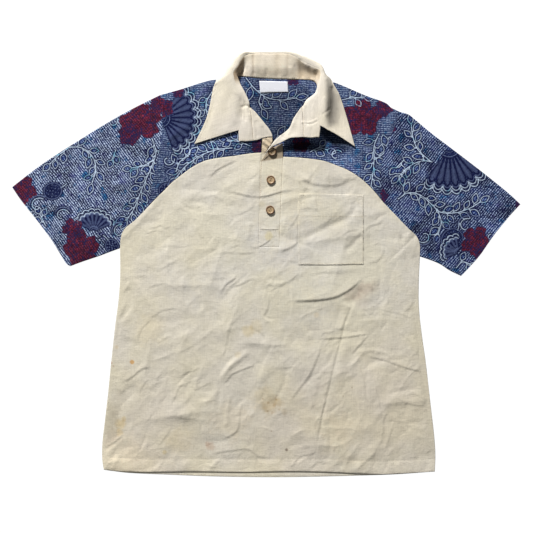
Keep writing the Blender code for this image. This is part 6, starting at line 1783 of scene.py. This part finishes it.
# ------------------------------------------------------------------ buttons
def shell_button(name, node, turn):
    """A turned button with a raised rim, a dished face and two holes."""
    low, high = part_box(node)
    cx, cy, base = (low[0] + high[0]) / 2, (low[1] + high[1]) / 2, low[2]
    r, h = BUTTON_D / 2, BUTTON_H
    rows = [(0, 0), (0.55, 0.0), (0.78, 0.05), (0.90, 0.16), (0.97, 0.30), (1.0, 0.45), (0.995, 0.62), (0.97, 0.80), (0.93, 0.94), (0.88, 1.0), (0.82, 0.985),
            (0.76, 0.94), (0.70, 0.83), (0.64, 0.72), (0.55, 0.67), (0.45, 0.64), (0.25, 0.63), (0, 0.62)]
    sides = 56
    verts, faces, rings = [], [], []
    for pr, pz in rows:
        if pr == 0:
            rings.append([len(verts)])
            verts.append((0, 0, pz * h))
        else:
            rings.append(list(range(len(verts), len(verts) + sides)))
            verts += [(pr * r * math.cos(2 * math.pi * k / sides), pr * r * math.sin(2 * math.pi * k / sides), pz * h) for k in range(sides)]
    for a, b in zip(rings[:-1], rings[1:]):
        for k in range(sides):
            n = (k + 1) % sides
            faces.append((a[0], b[n], b[k]) if len(a) == 1 else (a[k], a[n], b[0]) if len(b) == 1 else (a[k], a[n], b[n], b[k]))
    mesh = bpy.data.meshes.new(name)
    mesh.from_pydata(verts, [], faces)
    bm = bmesh.new()
    bm.from_mesh(mesh)
    bmesh.ops.recalc_face_normals(bm, faces=bm.faces)
    bm.to_mesh(mesh)
    bm.free()
    obj = bpy.data.objects.new(name, mesh)
    bpy.context.collection.objects.link(obj)
    cutters = []
    for sign in (-1, 1):
        bpy.ops.mesh.primitive_cylinder_add(vertices=18, radius=BUTTON_HOLE_D / 2, depth=4 * h,
                                            location=(sign * BUTTON_HOLE_GAP / 2 * 0.35, sign * BUTTON_HOLE_GAP / 2 * 0.94, h / 2))
        cutter = bpy.context.object
        cut = obj.modifiers.new("hole", "BOOLEAN")
        cut.operation, cut.object, cut.solver = "DIFFERENCE", cutter, "EXACT"
        cutters.append(cutter)
    done = bpy.data.meshes.new_from_object(obj.evaluated_get(bpy.context.evaluated_depsgraph_get()))
    obj.modifiers.clear()
    obj.data = done
    for cutter in cutters:
        bpy.data.objects.remove(cutter, do_unlink=True)
    co = np.array([v.co for v in done.vertices])
    rr = np.linalg.norm(co[:, :2], axis=1) / r
    face = ease((0.80 - rr) / 0.10) * (co[:, 2] > 0.5 * h) * (1 - 0.75 * np.exp(-((rr - 0.34) / 0.07) ** 2))
    att = done.attributes.new("face", "FLOAT", "POINT")
    att.data.foreach_set("value", face.astype(np.float32))
    # painted shadow: the top button, under the facing's rolled edge, is darkened
    att = done.attributes.new("painted_shadow", "FLOAT", "POINT")
    att.data.foreach_set("value", np.full(len(co), 0.55 if turn == 0 else 1.0, np.float32))
    co = co + np.array([cx, cy, base])
    done.vertices.foreach_set("co", co.astype(np.float32).ravel())
    done.update()
    done.shade_smooth()
    done.set_sharp_from_angle(angle=math.radians(42))
    done.materials.clear()
    done.materials.append(SHELL)
    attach(obj, "root")
    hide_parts(node)
    return obj


buttons = [shell_button("shell_" + node, node, turn) for node, turn in (("button_1", 0), ("button_2", 1), ("button_3", 2))]

# ------------------------------------------------------------------ stitching
hem_rows = [over(HEM_LINE, front_low, CLOTH)]
placket_brown = [over([(261.6, 161), (260.8, 180), (260.5, 196)], over_low, CLOTH)]
placket_rows = [over([(260.5, 197), (260, 222), (259.8, 246)], over_low, CLOTH), over([(282.2, 158), (281.4, 172), (280.2, 205), (278.6, 246)], over_low, CLOTH),
                over([(260.2, 228.6), (269, 229.2), (279, 229.4)], over_low, CLOTH), over([(260.2, 230.6), (269, 231), (279, 231.2)], over_low, CLOTH),
                over([(259.8, 246), (269, 246.2), (278.4, 246)], over_low, CLOTH)]
pocket_low = lambda points: front_low(points) + CLOTH + GAP
pocket_rows = [over(rows, pocket_low, POCKET_CLOTH) for rows in (
    [(299.8, 195.6), (299.6, 230), (300, 263.4)], [(300, 263.6), (330, 263.8), (362.2, 263.2)], [(362.2, 263), (362.4, 230), (362.2, 196.6)],
    [(299.8, 215.8), (330, 216.4), (362.4, 216.6)], [(299.8, 195.6), (304.8, 195.4), (304.6, 201), (300, 203.6)],
    [(362.2, 196.6), (357.4, 196.4), (357.6, 202), (362.2, 204.6)])]
facing_rows = [over([(253.6, 114), (255, 126), (255.6, 139.4)], lapel_r_low, CLOTH), over([(300.4, 112), (300.8, 124), (301, 136.6)], lapel_l_low, CLOTH),
               over([(255.4, 139), (263, 137), (271, 136)], lapel_r_low, CLOTH)]
stitch_mesh("stitches_body", hem_rows + placket_rows + pocket_rows, THREAD)
stitch_mesh("stitches_placket", placket_brown, THREAD_BROWN, length=0.0030, gap=0.0009, radius=0.00030)


def along_grid(grid, normal, uu, sv, thick, edge, distance):
    """A line on a swept sheet at a distance in from one of its edges."""
    up = grid + normal * (thick / 2 + 0.00008)
    out = []
    if edge in ("outer", "inner"):
        for i in range(len(grid)):
            s = sv[i]
            t = s[-1] - distance if edge == "outer" else distance
            out.append([np.interp(t, s, up[i, :, c]) for c in range(3)])
    else:
        for j in range(grid.shape[1]):
            s = uu[:, j]
            t = distance if edge == "first" else s[-1] - distance
            out.append([np.interp(t, s, up[:, j, c]) for c in range(3)])
    return np.array(out)


leaf_edge = along_grid(leaf_grid, leaf_normal, leaf_u, leaf_v, COLLAR_CLOTH, "outer", 0.0050)
shown = [i for i, p in enumerate(leaf_edge) if p[2] > 0.004]
first_part = [i for i in shown if leaf_edge[i, 0] < 0]
last_part = [i for i in shown if leaf_edge[i, 0] > 0]
collar_rows = [leaf_edge[first_part[4]:first_part[-1] + 1], leaf_edge[last_part[0]:last_part[-4]],
               along_grid(leaf_grid, leaf_normal, leaf_u, leaf_v, COLLAR_CLOTH, "first", 0.0050)[4:-6],
               along_grid(leaf_grid, leaf_normal, leaf_u, leaf_v, COLLAR_CLOTH, "last", 0.0050)[4:-6],
               along_grid(stand_grid, stand_normal, stand_u, stand_v, COLLAR_CLOTH, "inner", 0.0022)[6:-6],
               along_grid(stand_grid, stand_normal, stand_u, stand_v, COLLAR_CLOTH, "first", 0.0026)[2:-2],
               along_grid(stand_grid, stand_normal, stand_u, stand_v, COLLAR_CLOTH, "last", 0.0026)[2:-2]]
stitch_mesh("stitches_collar", collar_rows + facing_rows, THREAD, length=0.0024, gap=0.0014, radius=0.00024)

cuffs = []
for shape, k in ((SLEEVE_R, 1), (SLEEVE_L, -1)):
    line = curve(shape["cuff"], 0.0012)
    d = np.gradient(line, axis=0)
    n = np.stack([-d[:, 1], d[:, 0]], 1) / np.linalg.norm(d, axis=1)[:, None]
    inner = line + n * 0.022 * k
    cuffs.append(np.column_stack([inner, front_low(inner) + CLOTH + 0.00008])[6:-6])
stitch_mesh("stitches_cuffs", cuffs, THREAD_NAVY)

# ------------------------------------------------------------------ what each piece is cut to
finish_piece(back_body, "back_body")
finish_piece(back_yoke, "back_yoke")
finish_piece(front_body, "front_body")
finish_piece(yoke_right, "front_yoke_right")
finish_piece(yoke_left, "front_yoke_left")
finish_piece(sleeve_right, "sleeve_right")
finish_piece(sleeve_left, "sleeve_left")
finish_piece(pocket, "chest_pocket")
finish_piece(strips["placket_over"], "placket_over")
finish_piece(strips["placket_under"], "placket_under")
finish_piece(strips["facing_right"], "facing_right")
finish_piece(strips["facing_left"], "facing_left")
finish_piece(stand, "collar_stand")
finish_piece(leaf, "collar_leaf")
finish_piece(neck_label, "neck_label")

# ------------------------------------------------------------------ floor, light and camera
bpy.ops.mesh.primitive_plane_add(size=6, location=(0, 0, -0.0002))
floor = bpy.context.object
floor.name = "floor"
shade = Shade("floor_white", 0.9)
shade.bsdf.inputs["Base Color"].default_value = (0.10, 0.10, 0.10, 1)
shade.bsdf.inputs["Emission Color"].default_value = (1, 1, 1, 1)
shade.bsdf.inputs["Emission Strength"].default_value = 1.0
shade.bsdf.inputs["Specular IOR Level"].default_value = 0.0
floor.data.materials.append(shade.mat)
floor.visible_diffuse = False
floor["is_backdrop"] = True

world = bpy.data.worlds.new("studio")
world.use_nodes = True
world.node_tree.nodes["Background"].inputs["Color"].default_value = (0.96, 0.98, 1.0, 1)
world.node_tree.nodes["Background"].inputs["Strength"].default_value = 0.15
bpy.context.scene.world = world


def lamp(name, direction, distance, size, watts, colour):
    data = bpy.data.lights.new(name, "AREA")
    data.shape, data.size, data.energy, data.color = "DISK", size, watts, colour
    obj = bpy.data.objects.new(name, data)
    bpy.context.collection.objects.link(obj)
    d = Vector(direction).normalized()
    obj.location = d * distance
    obj.rotation_euler = d.to_track_quat("Z", "Y").to_euler()
    return obj


lamp("key", (-0.30, 0.84, 0.47), 4.5, 0.40, 298, (1.0, 0.985, 0.97))

cam_data = bpy.data.cameras.new("camera")
cam_data.sensor_fit, cam_data.sensor_width = "HORIZONTAL", 36
distance = 4.0
cam_data.lens = 36 * distance / (533 * U)
cam_data.clip_end = 20
camera = bpy.data.objects.new("camera", cam_data)
bpy.context.collection.objects.link(camera)
camera.location = ((266.5 - MIDDLE[0]) * U, (MIDDLE[1] - 266.5) * U, distance)
camera.rotation_euler = (0, 0, 0)
bpy.context.scene.camera = camera
bpy.context.scene.view_settings.view_transform = "Standard"
bpy.context.scene.view_settings.look = "None"

low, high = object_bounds()
